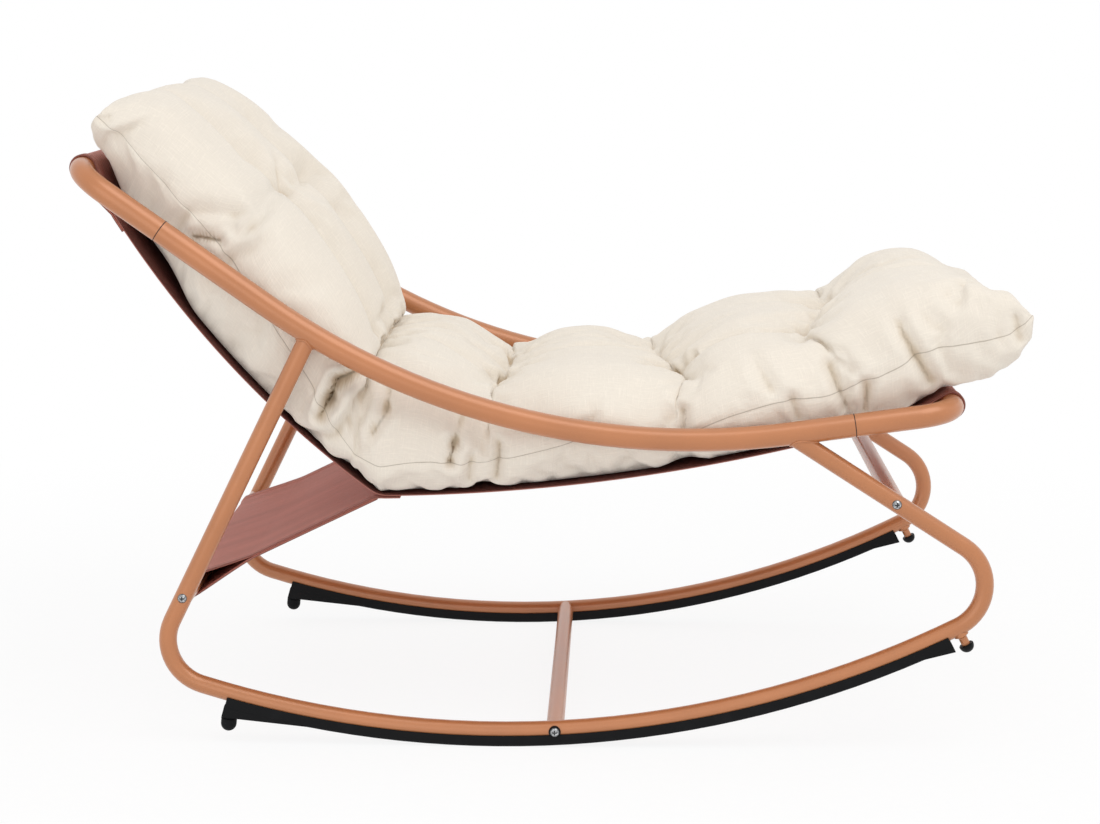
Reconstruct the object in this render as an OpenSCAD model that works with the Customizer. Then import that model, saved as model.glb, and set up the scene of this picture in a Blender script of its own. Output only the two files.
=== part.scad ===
// Rocking lounge chair: two bent tube side frames on curved rockers, three cross tubes,
// a fabric sling between two end bows and one long tufted cushion that lies loose on it.
// X runs from the head end to the foot end, Y to the sitter's left, Z up from the floor.

/* [Tubes] */
// Outside diameter of the side rails and the end bows
rail_d = 32; // [28:0.5:36]
// Outside diameter of the rocker tubes and the cross tubes
leg_d = 25; // [22:0.5:27]
// Wall of every tube
tube_wall = 1.5; // [1:0.1:2]
// Distance between the centre planes of the two side frames
frame_w = 640; // [600:5:720]

/* [Side rail] */
// How far in front of the runner's lowest point the straights of the rail would meet
knee_x = 10; // [-10:1:30]
// Height of the point where the two straights of the rail would meet
knee_z = 391; // [380:1:410]
// Slope of the straight that runs up to the head end, in degrees
head_slope = 35.3; // [33:0.1:37]
// Slope of the straight that rises to the foot end, in degrees
foot_slope = 7.9; // [6:0.1:10]
// Bend radius of the rail at its centre line
rail_r = 1002; // [900:1:1080]
// Length from the knee point to the centre of the head bar
head_len = 708; // [690:1:740]
// Length from the knee point to the centre of the foot bar
foot_len = 623; // [605:1:650]

/* [End bows] */
// Length of each leg of a bow, from the seam to the centre of its bar
bow_leg = 139; // [125:1:160]
// Bend radius at the corners of a bow, at the centre line
bow_r = 50; // [45:1:60]
// Gap left at the seam between a rail and a bow
seam_gap = 0.4; // [0:0.1:1]
// Length of the inner tube that joins a rail and a bow
joiner_len = 80; // [60:1:90]
// Wall of the inner joining tube
joiner_wall = 1.5; // [1:0.1:2]

/* [Rocker] */
// Radius of the curved runner at the tube's centre line
runner_r = 1385; // [1250:5:1500]
// Where the runner ends and the rear bend begins, in degrees from its lowest point
rear_end = 17.4; // [17:0.1:18.5]
// Where the runner ends and the front bend begins, in degrees from its lowest point
front_end = 27.4; // [27.2:0.1:28.5]
// Radius of the rear and front bends at the centre line
rocker_bend_r = 66; // [56:1:76]
// Slope of the rear leg, in degrees
rear_leg_slope = 63.7; // [61:0.1:66]
// Slope of the front leg, in degrees
front_leg_slope = 32.8; // [31:0.1:35]

/* [Cross tubes and screws] */
// Height of the rear cross tube
rear_cross_z = 210; // [195:1:240]
// Height of the front cross tube
front_cross_z = 350; // [330:1:370]
// Distance of the base cross tube in front of the runner's lowest point
base_cross_x = 81; // [60:1:120]
// Thread diameter of the frame screws
screw_d = 6; // [5:0.5:7]
// Head diameter of the frame screws
screw_head_d = 13; // [11:0.5:14]
// Head height of the frame screws
screw_head_h = 3.6; // [3:0.1:4.5]
// Length of the frame screws under the head
screw_len = 50; // [45:1:60]
// Length of the threaded plug in each end of a cross tube
plug_len = 28; // [24:1:36]
// Depth of the flat pressed into the tube under a screw head
seat_depth = 0.5; // [0.3:0.1:0.8]
// Diameter of the black washers at the base cross tube
washer_d = 17; // [15:0.5:18]
// Thickness of the black washers over the crown of the tube
washer_t = 2; // [1.6:0.1:3]

/* [Runner pads] */
// Thickness of the pad under the runner tube
pad_t = 7; // [5:0.5:9]
// Width of the pad
pad_w = 27; // [26:0.5:30]
// How far below the tube's centre the sides of the pad end
pad_lip_drop = 4.3; // [3:0.1:6]
// Rear end of the pad, in degrees from the runner's lowest point
pad_rear = 15.8; // [15:0.1:16.2]
// Front end of the pad, in degrees from the runner's lowest point
pad_front = 26.7; // [25.8:0.1:26.9]
// Length over which the pad thickens into its rear block
block_len = 115; // [90:1:140]
// Extra depth of the rear block at its end
block_depth = 15; // [10:0.5:20]
// Length over which the pad thickens into its front wedge
wedge_len = 41; // [30:1:60]
// Extra depth of the front wedge at its end
wedge_depth = 8; // [5:0.5:12]
// Diameter of the pad screws
pad_screw_d = 4; // [3:0.5:4.5]
// Number of screws under each pad
pad_screws = 5; // [3:1:7]

/* [Stops] */
// Diameter of the ball shaped rear bumper
bumper_d = 22; // [18:0.5:24]
// Height of the rear bumper below the pad
bumper_h = 22; // [19:0.5:26]
// Diameter of the front peg
peg_d = 12; // [10:0.5:13]
// Distance from the tube's centre to the rim of the peg's cap
peg_reach = 27; // [25:0.5:32]
// Diameter of the mushroom cap on the peg
cap_d = 20.6; // [18:0.2:23]
// Height of the mushroom cap
cap_h = 12; // [11:0.5:14]

/* [Sling] */
// Gap between each edge of the sling and the bend of a bow
sling_gap = 2; // [1:0.5:20]
// Thickness of the sling fabric with its hem
sling_t = 2; // [1.6:0.1:3]
// How far behind the rail's knee point the tie panel is sewn to the sling
fold_back = 178; // [165:1:190]
// How far below the rail's knee point the sling folds there
fold_drop = 46; // [36:1:56]
// Sag of the back part of the sling below its chord
back_sag = 26; // [20:1:36]
// Sag of the seat part of the sling below its chord
seat_sag = 26; // [16:1:30]
// Half angle at which a sleeve closes behind its bar, in degrees
sleeve_angle = 15; // [13:0.5:18]
// Thickness of the tie panel
tie_t = 1.6; // [1.2:0.1:2]
// Half angle at which the tie panel closes behind the rear cross tube, in degrees
tie_angle = 9; // [8:0.5:12]
// Length of the tie panel that is sewn under the seat
tie_lap = 34; // [24:1:50]

/* [Cushion] */
// Gap between each side of the cushion and the side rail next to it
cushion_gap = 9; // [6:0.5:24]
// Depth of the grooves between the three lobes of the back
groove_depth = 36; // [16:1:44]
// Depth of the sewn tufts below the crest of a crease
tuft_depth = 16; // [8:1:28]
// How far a crease draws the side seam in
draw_in = 9; // [4:1:14]

/* [Hidden] */

RIGHT = -1;
LEFT = 1;
FRAME_COLOUR = "#C98560";
INNER_COLOUR = "#9A9DA0";
SCREW_COLOUR = "#C9CCCE";
BLACK = "#17181A";
SLING_COLOUR = "#AA7369";
CUSHION_COLOUR = "#ECE4D4";

// Named clearances
fit_gap = 0.1;
bore_gap = 0.3;
sleeve_gap = 0.3;
lie_gap = 0.4;
cut = 1;

// A bent stretch of tube is drawn slightly thinner, and the straights lap its ends
bend_draw = 0.2;
bend_lap = 0.3;

// Fragments of tubes, of long sweeps and of small round parts
tube_fn = 48;
bend_fn = 144;
sweep_fn = 360;
small_fn = 36;

// Points and directions below are [x, z] pairs in the plane of a side frame
function dir(a) = [cos(a), sin(a)];
function bearing(p, q) = atan2(q[1] - p[1], q[0] - p[0]);
function mix(p, q, t) = p + (q - p) * t;

// Side rail: straight, bend and straight, tangent to each other
head_a = 180 - head_slope;
foot_a = foot_slope;
bar_r = rail_d / 2;
sleeve_in_r = bar_r + sleeve_gap;
sleeve_out_r = sleeve_in_r + sling_t;
foot_overhang = 110;
mid_x = (head_len * cos(head_a) - sleeve_out_r + foot_len * cos(foot_a) + foot_overhang) / 2;
knee = [-mid_x, knee_z];
rail_tangent = rail_r * tan((head_slope + foot_slope) / 2);
head_tangent = knee + rail_tangent * dir(head_a);
foot_tangent = knee + rail_tangent * dir(foot_a);
rail_c = foot_tangent + rail_r * dir(foot_a + 90);
head_bar = knee + head_len * dir(head_a);
foot_bar = knee + foot_len * dir(foot_a);
head_seam = head_bar - bow_leg * dir(head_a);
foot_seam = foot_bar - bow_leg * dir(foot_a);

// Runner circle; angles count from its lowest point towards the foot end
runner_c = [knee[0] - knee_x, runner_r + leg_d / 2 + pad_t];
function on_runner(a, r = runner_r) = runner_c + r * dir(a - 90);

rear_bend_c = on_runner(-rear_end, runner_r - rocker_bend_r);
front_bend_c = on_runner(front_end, runner_r - rocker_bend_r);
rear_leg_a = rear_leg_slope;
front_leg_a = 180 - front_leg_slope;
rear_leg_foot = rear_bend_c + rocker_bend_r * dir(rear_leg_a + 90);
front_leg_foot = front_bend_c + rocker_bend_r * dir(front_leg_a - 90);

// Length along a leg, from p in direction a, to the centre line of the rail's bend
function leg_run(p, a) =
    let (b = (p - rail_c) * dir(a), c = (p - rail_c) * (p - rail_c) - rail_r * rail_r)
    -b - sqrt(b * b - c);
rear_leg_top = rear_leg_foot + leg_run(rear_leg_foot, rear_leg_a) * dir(rear_leg_a);
front_leg_bend = front_leg_foot + leg_run(front_leg_foot, front_leg_a) * dir(front_leg_a);
// Where the front leg meets the rail past its bend, on the straight to the foot end
function cross2(p, q) = p[0] * q[1] - p[1] * q[0];
front_leg_straight = front_leg_foot + cross2(foot_tangent - front_leg_foot, dir(foot_a))
    / cross2(dir(front_leg_a), dir(foot_a)) * dir(front_leg_a);
front_leg_top = bearing(rail_c, front_leg_bend) < foot_a - 90 ?
    front_leg_bend : front_leg_straight;
rear_rail_a = bearing(rail_c, rear_leg_top) + 90;
front_rail_a = min(bearing(rail_c, front_leg_bend) + 90, foot_a);

// Centres of the cross tubes
rear_cross = rear_leg_foot
    + (rear_cross_z - rear_leg_foot[1]) / sin(rear_leg_a) * dir(rear_leg_a);
front_cross = front_leg_foot
    + (front_cross_z - front_leg_foot[1]) / sin(front_leg_a) * dir(front_leg_a);
base_cross_a = asin(base_cross_x / runner_r);
base_cross = on_runner(base_cross_a);

// Across the chair
side_y = frame_w / 2;
tube_r = leg_d / 2;
tube_bore = leg_d - 2 * tube_wall;
head_seat_y = side_y + tube_r - seat_depth;
washer_rim_y = side_y + sqrt(tube_r * tube_r - washer_d * washer_d / 4);
washer_outer_y = side_y + tube_r + washer_t;
washer_recess = 0.6;
base_seat_y = washer_outer_y - washer_recess;

// Runner pad radii, from the centre of the runner circle
pad_outer_r = runner_r + tube_r + pad_t;
pad_lip_r = runner_r + pad_lip_drop;
pad_root = 3;
pad_nose = 18;
pad_inset = 0.5;
pad_edge = 1.5;
deg_per_mm = 180 / (PI * pad_outer_r);
block_start = pad_rear - block_len * deg_per_mm;
wedge_start = pad_front - wedge_len * deg_per_mm;
block_toe = on_runner(-pad_rear, pad_outer_r + block_depth);
block_heel = on_runner(-block_start, pad_outer_r);
block_a = bearing(block_heel, block_toe);
block_down = block_a + 90;
bumper_inset = 0.6;
bumper_neck_share = 0.82;
bumper_neck_d = bumper_d * bumper_neck_share;
bumper_foot = block_toe - (bumper_neck_d / 2 + bumper_inset) * dir(block_a);
bumper_stem_share = 0.36;
bumper_stem_d = bumper_d * bumper_stem_share;
bumper_stem_h = 9;

// Screws through a pad into its runner: angles of the first and last on the runner
pad_head_d = 2 * pad_screw_d;
pad_head_h = pad_screw_d / 2;
pad_under_head = pad_t / 2 + 1;
pad_head_r = runner_r + tube_r + pad_under_head;
pad_screw_grip = 5;
pad_screw_len = pad_under_head + tube_wall + pad_screw_grip;
pad_screw_rear_inset = 2.2;
pad_screw_front_inset = 1;
pad_screw_from = -pad_rear + pad_screw_rear_inset;
pad_screw_to = wedge_start - pad_screw_front_inset;

// Sling: two sagging runs that meet at the fold, each closed round its bar by a sleeve
sling_w = frame_w - 2 * (bow_r + sling_gap);
sleeve_reach = sleeve_out_r / sin(sleeve_angle);
fold = knee - [fold_back, fold_drop];
run_steps = 9;
function sag_point(p, q, sag, t) =
    mix(p, q, t) + 4 * sag * t * (1 - t) * dir(bearing(p, q) - 90);
function sag_run(p, q, sag) = [for (i = [0:run_steps]) sag_point(p, q, sag, i / run_steps)];
pull_share = 0.2;
head_pull_a = bearing(head_bar, sag_point(head_bar, fold, back_sag, pull_share));
foot_pull_a = bearing(foot_bar, sag_point(fold, foot_bar, seat_sag, 1 - pull_share));
head_merge = head_bar + sleeve_reach * dir(head_pull_a);
foot_merge = foot_bar + sleeve_reach * dir(foot_pull_a);
back_line = sag_run(head_merge, fold, back_sag);
seat_line = sag_run(fold, foot_merge, seat_sag);

// Tie panel: sewn under the seat at the fold, closed round the rear cross tube
tie_in_r = tube_r + sleeve_gap;
tie_out_r = tie_in_r + tie_t;
tie_a = bearing(rear_cross, fold);
tie_reach = tie_out_r / sin(tie_angle);
tie_drop = (sling_t + tie_t) / 2 + fit_gap;
tie_fold = fold + tie_drop * dir(-90);
tie_seat_a = bearing(seat_line[0], seat_line[1]);

// Cushion: line of its underside, first over the head bar, then along the sling,
// then over the foot bar
under_gap = sling_t / 2 + lie_gap;
head_wrap = [[30, 76], [12, 56], [13, 34], [16, 17], [24, -7], [31, -30]];
foot_wrap = [[-12, 20], [3, 22], [53, 38], [88, 70], [106, 98], [foot_overhang, 120]];
function lift(line, i) =
    let (a = bearing(line[max(i - 1, 0)], line[min(i + 1, len(line) - 1)]))
    line[i] + under_gap * dir(a + 90);
under_line = concat([for (w = head_wrap) head_bar + w],
    [for (i = [0:run_steps - 1]) lift(back_line, i)],
    [for (i = [1:run_steps]) lift(seat_line, i)],
    [for (w = foot_wrap) foot_bar + w]);
under_s = [for (i = 0, s = 0; i < len(under_line);
    s = s + (i < len(under_line) - 1 ? norm(under_line[i + 1] - under_line[i]) : 0),
    i = i + 1) s];
under_len = under_s[len(under_s) - 1];
function under_index(s, i = 0) =
    i >= len(under_s) - 2 || under_s[i + 1] >= s ? i : under_index(s, i + 1);
function under(s) =
    let (i = under_index(s), t = (s - under_s[i]) / (under_s[i + 1] - under_s[i]))
    mix(under_line[i], under_line[i + 1], t);

// Creases across the cushion: place along its underside, thickness there at the crest
// of a lobe, lean of the crease in degrees, height of the side seam as a share of the
// thickness, and bulge of the section that follows it
CREASES = [
    [0, 5, 60, 0.5, 60],
    [314, 211, 61, 0.45, 40],
    [636, 166, 79, 0.22, 30],
    [827, 125, 87, 0.35, 41],
    [1085, 109, 98, 0.45, 43],
    [1327, 134, 92, 0.5, 61],
    [under_len, 5, 80, 0.5, 0]];
SECTION_STEPS = [8, 8, 7, 8, 8, 9];
SECTION_GROOVE = [1, 0.8, 0.3, 0.25, 0.25, 0.25];
last_section = len(CREASES) - 2;
end_draw_in = 34;
crown_power = 0.95;
function crease_low(k) = under(CREASES[k][0]);
function crease_top(k) = crease_low(k) + CREASES[k][1] * dir(CREASES[k][2]);
function crown(k, t) =
    let (p = crease_top(k), q = crease_top(k + 1))
    mix(p, q, t) + CREASES[k][4] * pow(4 * t * (1 - t), crown_power) * dir(bearing(p, q) + 90);

// Places of the points across half the cushion, above and below its side seam
TOP_PLACES = [-1, -0.92, -0.8, -0.64, -0.48, -0.32, -0.16, 0,
    0.16, 0.32, 0.48, 0.64, 0.8, 0.92, 1];
LOW_PLACES = [0.97, 0.86, 0.6, 0.3, 0, -0.3, -0.6, -0.86, -0.97];
groove_place = 0.32;
groove_half = 0.2;
// Shares of a section over which a crease pinches it and the end of the cushion narrows
pinch_reach = 1 / 7;
end_reach = 1 / 5;
groove_reach = 1 / 8;
edge_lift = 0.08;
top_round = [6.4, 2.4];
low_round = [12, 2.5];
function groove(u) = max(0, 1 - abs(abs(u) - groove_place) / groove_half);
function rounded(u, powers) = pow(max(0, 1 - pow(abs(u), powers[0])), 1 / powers[1]);

// Ring of points at share t of section k, from seam to seam above and back below
function cushion_ring(k, t) =
    let (low = under(mix(CREASES[k][0], CREASES[k + 1][0], t)),
        rise = crown(k, t) - low,
        up = rise / norm(rise),
        seam = mix(CREASES[k][3], CREASES[k + 1][3], t),
        from_end = k == 0 ? t : k == last_section ? 1 - t : 1,
        to_crease = k == 0 ? 1 - t : k == last_section ? t : min(t, 1 - t),
        pinch = max(0, 1 - to_crease / pinch_reach),
        w = half_w - draw_in * pinch
            - end_draw_in * pow(max(0, 1 - from_end / end_reach), 2),
        dip = groove_depth * SECTION_GROOVE[k] * min(1, from_end / groove_reach)
            + tuft_depth * pinch)
    concat(
        [for (u = TOP_PLACES)
            let (share = seam + (1 - seam) * rounded(u, top_round),
                p = low + rise * share - dip * groove(u) * up)
            [p[0], u * w, p[1]]],
        [for (u = LOW_PLACES)
            let (share = seam * (1 - rounded(u, low_round)) + edge_lift * pinch * pow(u, 4),
                p = low + rise * share)
            [p[0], u * w, p[1]]]);
function eased(t) = (1 - cos(180 * t)) / 2;
half_w = frame_w / 2 - bar_r - cushion_gap;
CUSHION_RINGS = [for (k = [0:last_section],
    i = [0:SECTION_STEPS[k] - (k == last_section ? 0 : 1)])
    cushion_ring(k, eased(i / SECTION_STEPS[k]))];
ring_n = len(TOP_PLACES) + len(LOW_PLACES);
last_ring = len(CUSHION_RINGS) - 1;

module ring(d, wall) {
    difference() {
        circle(d = d, $fn = tube_fn);
        circle(d = d - 2 * wall, $fn = tube_fn);
    }
}

// Puts a child that points along +Z at p in the frame's plane, pointing in direction a
module aim(p, a) {
    translate([p[0], 0, p[1]])
        rotate([0, 90 - a, 0])
            children();
}

// Straight tube from p to q, made longer at each end by what it laps there
module straight(p, q, d, wall, laps = [0, 0]) {
    a = bearing(p, q);
    aim(p - laps[0] * dir(a), a)
        linear_extrude(height = norm(q - p) + laps[0] + laps[1])
            ring(d, wall);
}

module rod(p, q, d) {
    aim(p, bearing(p, q))
        cylinder(h = norm(q - p), d = d, $fn = tube_fn);
}

// Sweeps its 2D child round centre c in the frame's plane, from angle a0 to a1
module swept(c, a0, a1, fn) {
    translate([c[0], 0, c[1]])
        rotate([90, 0, 0])
            rotate([0, 0, a0])
                rotate_extrude(angle = a1 - a0, $fn = fn)
                    children();
}

module drawn_ring(d, wall) {
    ring(d - bend_draw, wall - bend_draw);
}

module bend(c, r, a0, a1, d, wall, fn = sweep_fn) {
    swept(c, a0, a1, fn)
        translate([r, 0])
            drawn_ring(d, wall);
}

module bend_rod(c, r, a0, a1, d, fn = sweep_fn) {
    swept(c, a0, a1, fn)
        translate([r, 0])
            circle(d = d, $fn = tube_fn);
}

// Hole or pin across the chair, centred on y
module across(p, y, h, d) {
    translate([p[0], y + h / 2, p[1]])
        rotate([90, 0, 0])
            cylinder(h = h, d = d, $fn = small_fn);
}

module side(s) {
    translate([0, s * side_y, 0])
        children();
}

// Round of a tube of diameter d through p, to which the end of another tube is cut
module cope(p, a, d) {
    rod(p - 3 * d * dir(a), p + 3 * d * dir(a), d);
}

module side_rail(s) {
    color(FRAME_COLOUR)
        side(s) {
            straight(head_seam, head_tangent, rail_d, tube_wall, [0, bend_lap]);
            bend(rail_c, rail_r, -90 - head_slope, -90 + foot_slope, rail_d, tube_wall);
            straight(foot_tangent, foot_seam, rail_d, tube_wall, [bend_lap, 0]);
        }
}

// A bow lies along local +X from its two seams, with its bar across the far end
module bow(seam, a) {
    straight_len = bow_leg - bow_r - seam_gap;
    translate([seam[0], 0, seam[1]])
        rotate([0, -a, 0])
            translate([seam_gap, 0, 0]) {
                for (s = [RIGHT, LEFT]) {
                    translate([0, s * side_y, 0])
                        rotate([0, 90, 0])
                            linear_extrude(height = straight_len + bend_lap)
                                ring(rail_d, tube_wall);
                    translate([straight_len, s * (side_y - bow_r), 0])
                        rotate([0, 0, s < 0 ? -90 : 0])
                            rotate_extrude(angle = 90, $fn = 2 * tube_fn)
                                translate([bow_r, 0])
                                    drawn_ring(rail_d, tube_wall);
                }
                translate([straight_len + bow_r, side_y - bow_r + bend_lap, 0])
                    rotate([90, 0, 0])
                        linear_extrude(height = 2 * (side_y - bow_r + bend_lap))
                            ring(rail_d, tube_wall);
            }
}

module head_bow() {
    color(FRAME_COLOUR)
        bow(head_seam, head_a);
}

module foot_bow() {
    color(FRAME_COLOUR)
        bow(foot_seam, foot_a);
}

// Inner tube that joins a rail and a bow, half of it on each side of the seam
module joiner(s, seam, a) {
    color(INNER_COLOUR)
        side(s)
            straight(seam - joiner_len / 2 * dir(a), seam + joiner_len / 2 * dir(a),
                rail_d - 2 * tube_wall - 2 * fit_gap, joiner_wall);
}

// Hole for a frame screw and the flat pressed in under its head
module screw_hole(p, s, seat) {
    across(p, 0, leg_d + 2 * cut, screw_d + 2 * bore_gap);
    if (seat)
        across(p, s * (tube_r - seat_depth + cut), 2 * cut, screw_head_d + cut);
}

function pad_screw_a(i) =
    pad_screw_from + (pad_screw_to - pad_screw_from) * i / (pad_screws - 1);

// Leg of a rocker tube, cut to the rail at its top and drilled for its cross tube
module leg(foot, top, rail_a, cross, s) {
    difference() {
        straight(foot, top, leg_d, tube_wall, [bend_lap, 0]);
        cope(top, rail_a, rail_d);
        screw_hole(cross, s, true);
    }
}

// Curved runner between the two bends, drilled for the base cross tube and the pad
module runner(s) {
    lap_a = bend_lap / runner_r * 180 / PI;
    difference() {
        swept(runner_c, -90 - rear_end - lap_a, -90 + front_end + lap_a, sweep_fn)
            translate([runner_r, 0])
                ring(leg_d, tube_wall);
        screw_hole(base_cross, s, false);
        for (i = [0:pad_screws - 1])
            aim(on_runner(pad_screw_a(i)), pad_screw_a(i) - 90)
                cylinder(h = leg_d, d = pad_screw_d + 2 * fit_gap, $fn = small_fn);
    }
}

// One tube: rear leg, bend, runner, bend and front leg
module rocker_tube(s) {
    color(FRAME_COLOUR)
        side(s) {
            leg(rear_leg_foot, rear_leg_top, rear_rail_a, rear_cross, s);
            bend(rear_bend_c, rocker_bend_r, rear_leg_a + 90, 270 - rear_end,
                leg_d, tube_wall, bend_fn);
            runner(s);
            bend(front_bend_c, rocker_bend_r, -90 + front_end, front_leg_a - 90,
                leg_d, tube_wall, bend_fn);
            leg(front_leg_foot, front_leg_top, front_rail_a, front_cross, s);
        }
}

// Tube across the chair at p, cut at both ends to rocker tubes that run there at angle a
module cross_tube(p, a) {
    color(FRAME_COLOUR)
        difference() {
            translate([p[0], side_y, p[1]])
                rotate([90, 0, 0])
                    linear_extrude(height = frame_w)
                        ring(leg_d, tube_wall);
            for (s = [RIGHT, LEFT])
                side(s)
                    cope(p, a, leg_d + 2 * fit_gap);
        }
}

// Threaded plug pressed into each end of a cross tube, with two gripping collars
module cross_plugs(p) {
    collar = 4;
    neck_in = 1;
    outer_d = tube_bore - 2 * fit_gap;
    color(INNER_COLOUR)
        for (s = [RIGHT, LEFT])
            translate([p[0], s * (side_y - tube_r - 2 * fit_gap), p[1]])
                rotate([s * 90, 0, 0])
                    difference() {
                        union() {
                            cylinder(h = plug_len, d = outer_d - neck_in, $fn = tube_fn);
                            cylinder(h = collar, d = outer_d, $fn = tube_fn);
                            translate([0, 0, plug_len - collar])
                                cylinder(h = collar, d = outer_d, $fn = tube_fn);
                        }
                        translate([0, 0, -cut])
                            cylinder(h = plug_len + 2 * cut, d = screw_d + 2 * fit_gap,
                                $fn = small_fn);
                    }
}

// Pan head screw with a cross recess, on the Z axis, head up, seat at z = 0
module frame_screw() {
    flatten = 1.12;
    dome_r = flatten * (screw_head_d * screw_head_d / 4 + screw_head_h * screw_head_h)
        / (2 * screw_head_h);
    thread_into_head = screw_head_h * 0.35;
    recess_floor = screw_head_h * 0.4;
    recess_w = screw_head_d * 0.16;
    recess_l = screw_head_d * 0.52;
    difference() {
        union() {
            translate([0, 0, -screw_len])
                cylinder(h = screw_len + thread_into_head, d = screw_d, $fn = small_fn);
            rotate_extrude($fn = tube_fn)
                intersection() {
                    square([screw_head_d / 2, screw_head_h]);
                    translate([0, screw_head_h - dome_r])
                        circle(r = dome_r, $fn = 4 * tube_fn);
                }
        }
        for (a = [0, 90])
            rotate([0, 0, a])
                translate([-recess_l / 2, -recess_w / 2, recess_floor])
                    cube([recess_l, recess_w, screw_head_h]);
    }
}

module screw_pair(p, seat_y) {
    color(SCREW_COLOUR)
        for (s = [RIGHT, LEFT])
            translate([p[0], s * seat_y, p[1]])
                rotate([-s * 90, 0, 0])
                    frame_screw();
}

// Black washers with a saddle to the round of the runner and a recess for the head
module base_screw_washers() {
    bevel = 0.8;
    rim_h = washer_outer_y - washer_rim_y;
    color(BLACK)
        for (s = [RIGHT, LEFT])
            difference() {
                translate([base_cross[0], s * washer_rim_y, base_cross[1]])
                    rotate([-s * 90, 0, 0])
                        difference() {
                            union() {
                                cylinder(h = rim_h - bevel, d = washer_d, $fn = tube_fn);
                                cylinder(h = rim_h, d = washer_d - 2 * bevel, $fn = tube_fn);
                            }
                            translate([0, 0, -cut])
                                cylinder(h = rim_h + 2 * cut, d = screw_d + 2 * bore_gap,
                                    $fn = small_fn);
                            translate([0, 0, rim_h - washer_recess])
                                cylinder(h = cut, d = screw_head_d + 2 * fit_gap,
                                    $fn = tube_fn);
                        }
                side(s)
                    bend_rod(runner_c, runner_r, -90, -90 + 2 * base_cross_a,
                        leg_d + 2 * fit_gap);
            }
}

// Thicker end of a pad: it leaves the strip at a_heel and is deepest at a_end
module pad_end(a_heel, a_end, depth) {
    heel = on_runner(a_heel, pad_outer_r);
    tip = on_runner(a_end, pad_outer_r + depth);
    root = on_runner(a_end, pad_outer_r - pad_root);
    nose = heel + pad_nose * dir(bearing(tip, heel));
    translate([0, pad_w / 2 - pad_inset, 0])
        rotate([90, 0, 0])
            linear_extrude(height = pad_w - 2 * pad_inset)
                polygon([root, nose, tip]);
}

// Moulded pad under a runner: a grooved strip with a deep rear block and a front wedge
module runner_pad(s) {
    end_step = 1 * deg_per_mm;
    color(BLACK)
        side(s)
            difference() {
                union() {
                    swept(runner_c, -90 - pad_rear + end_step, -90 + pad_front - end_step,
                        sweep_fn)
                        polygon([[pad_lip_r, -pad_w / 2], [pad_lip_r, pad_w / 2],
                            [pad_outer_r - pad_edge, pad_w / 2],
                            [pad_outer_r, pad_w / 2 - pad_edge],
                            [pad_outer_r, -pad_w / 2 + pad_edge],
                            [pad_outer_r - pad_edge, -pad_w / 2]]);
                    pad_end(-block_start, -pad_rear, block_depth);
                    pad_end(wedge_start, pad_front, wedge_depth);
                }
                bend_rod(runner_c, runner_r, -90 - pad_rear - 1, -90 + pad_front + 1,
                    leg_d + 2 * fit_gap);
                for (i = [0:pad_screws - 1])
                    aim(on_runner(pad_screw_a(i)), pad_screw_a(i) - 90) {
                        cylinder(h = 2 * leg_d, d = pad_screw_d + 2 * bore_gap,
                            $fn = small_fn);
                        translate([0, 0, pad_head_r - runner_r])
                            cylinder(h = leg_d, d = pad_head_d + 2 * bore_gap,
                                $fn = small_fn);
                    }
                across(base_cross, s * leg_d / 2, leg_d, washer_d + 2 * bore_gap);
                across(base_cross, -s * leg_d / 2, leg_d, leg_d + 2 * bore_gap);
                aim(bumper_foot + cut * dir(block_down), block_down + 180)
                    cylinder(h = bumper_stem_h + 2 * cut, d = bumper_stem_d + 2 * fit_gap,
                        $fn = small_fn);
            }
}

module pad_screw_row(s) {
    color(SCREW_COLOUR)
        side(s)
            for (i = [0:pad_screws - 1])
                aim(on_runner(pad_screw_a(i), pad_head_r + pad_head_h),
                    pad_screw_a(i) + 90) {
                    cylinder(h = pad_head_h, d = pad_head_d, $fn = small_fn);
                    cylinder(h = pad_head_h + pad_screw_len, d = pad_screw_d,
                        $fn = small_fn);
                }
}

// Rubber ball foot with a neck, held by its stem in the rear block
module rear_bumper(s) {
    ball_r = bumper_d / 2;
    neck_h = 2.5;
    step = 1;
    color(BLACK)
        side(s)
            aim(bumper_foot, block_down)
                rotate_extrude($fn = tube_fn) {
                    translate([0, -bumper_stem_h])
                        square([bumper_stem_d / 2, bumper_stem_h + neck_h]);
                    square([bumper_neck_d / 2, neck_h]);
                    translate([0, neck_h])
                        square([ball_r - step, bumper_h - neck_h - ball_r]);
                    translate([0, neck_h + step])
                        square([ball_r, bumper_h - neck_h - step - ball_r]);
                    translate([0, bumper_h - ball_r])
                        intersection() {
                            circle(r = ball_r, $fn = tube_fn);
                            square([ball_r, ball_r]);
                        }
                }
}

// Welded peg at the front end of a runner, flared and coped where it meets the tube
module front_peg(s) {
    flare = 5;
    flare_foot = 4.4;
    flare_top = tube_r + flare + 0.5;
    bend_from = 4;
    color(FRAME_COLOUR)
        side(s)
            difference() {
                aim(on_runner(front_end), front_end - 90)
                    rotate_extrude($fn = tube_fn)
                        difference() {
                            union() {
                                square([peg_d / 2, peg_reach + cap_h / 2]);
                                square([peg_d / 2 + flare_foot, flare_top]);
                            }
                            translate([peg_d / 2 + flare, flare_top])
                                circle(r = flare, $fn = tube_fn);
                        }
                bend_rod(runner_c, runner_r, -90 + front_end - bend_from, -90 + front_end,
                    leg_d);
                bend_rod(front_bend_c, rocker_bend_r, -90 + front_end, front_end,
                    leg_d, bend_fn);
            }
}

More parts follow.
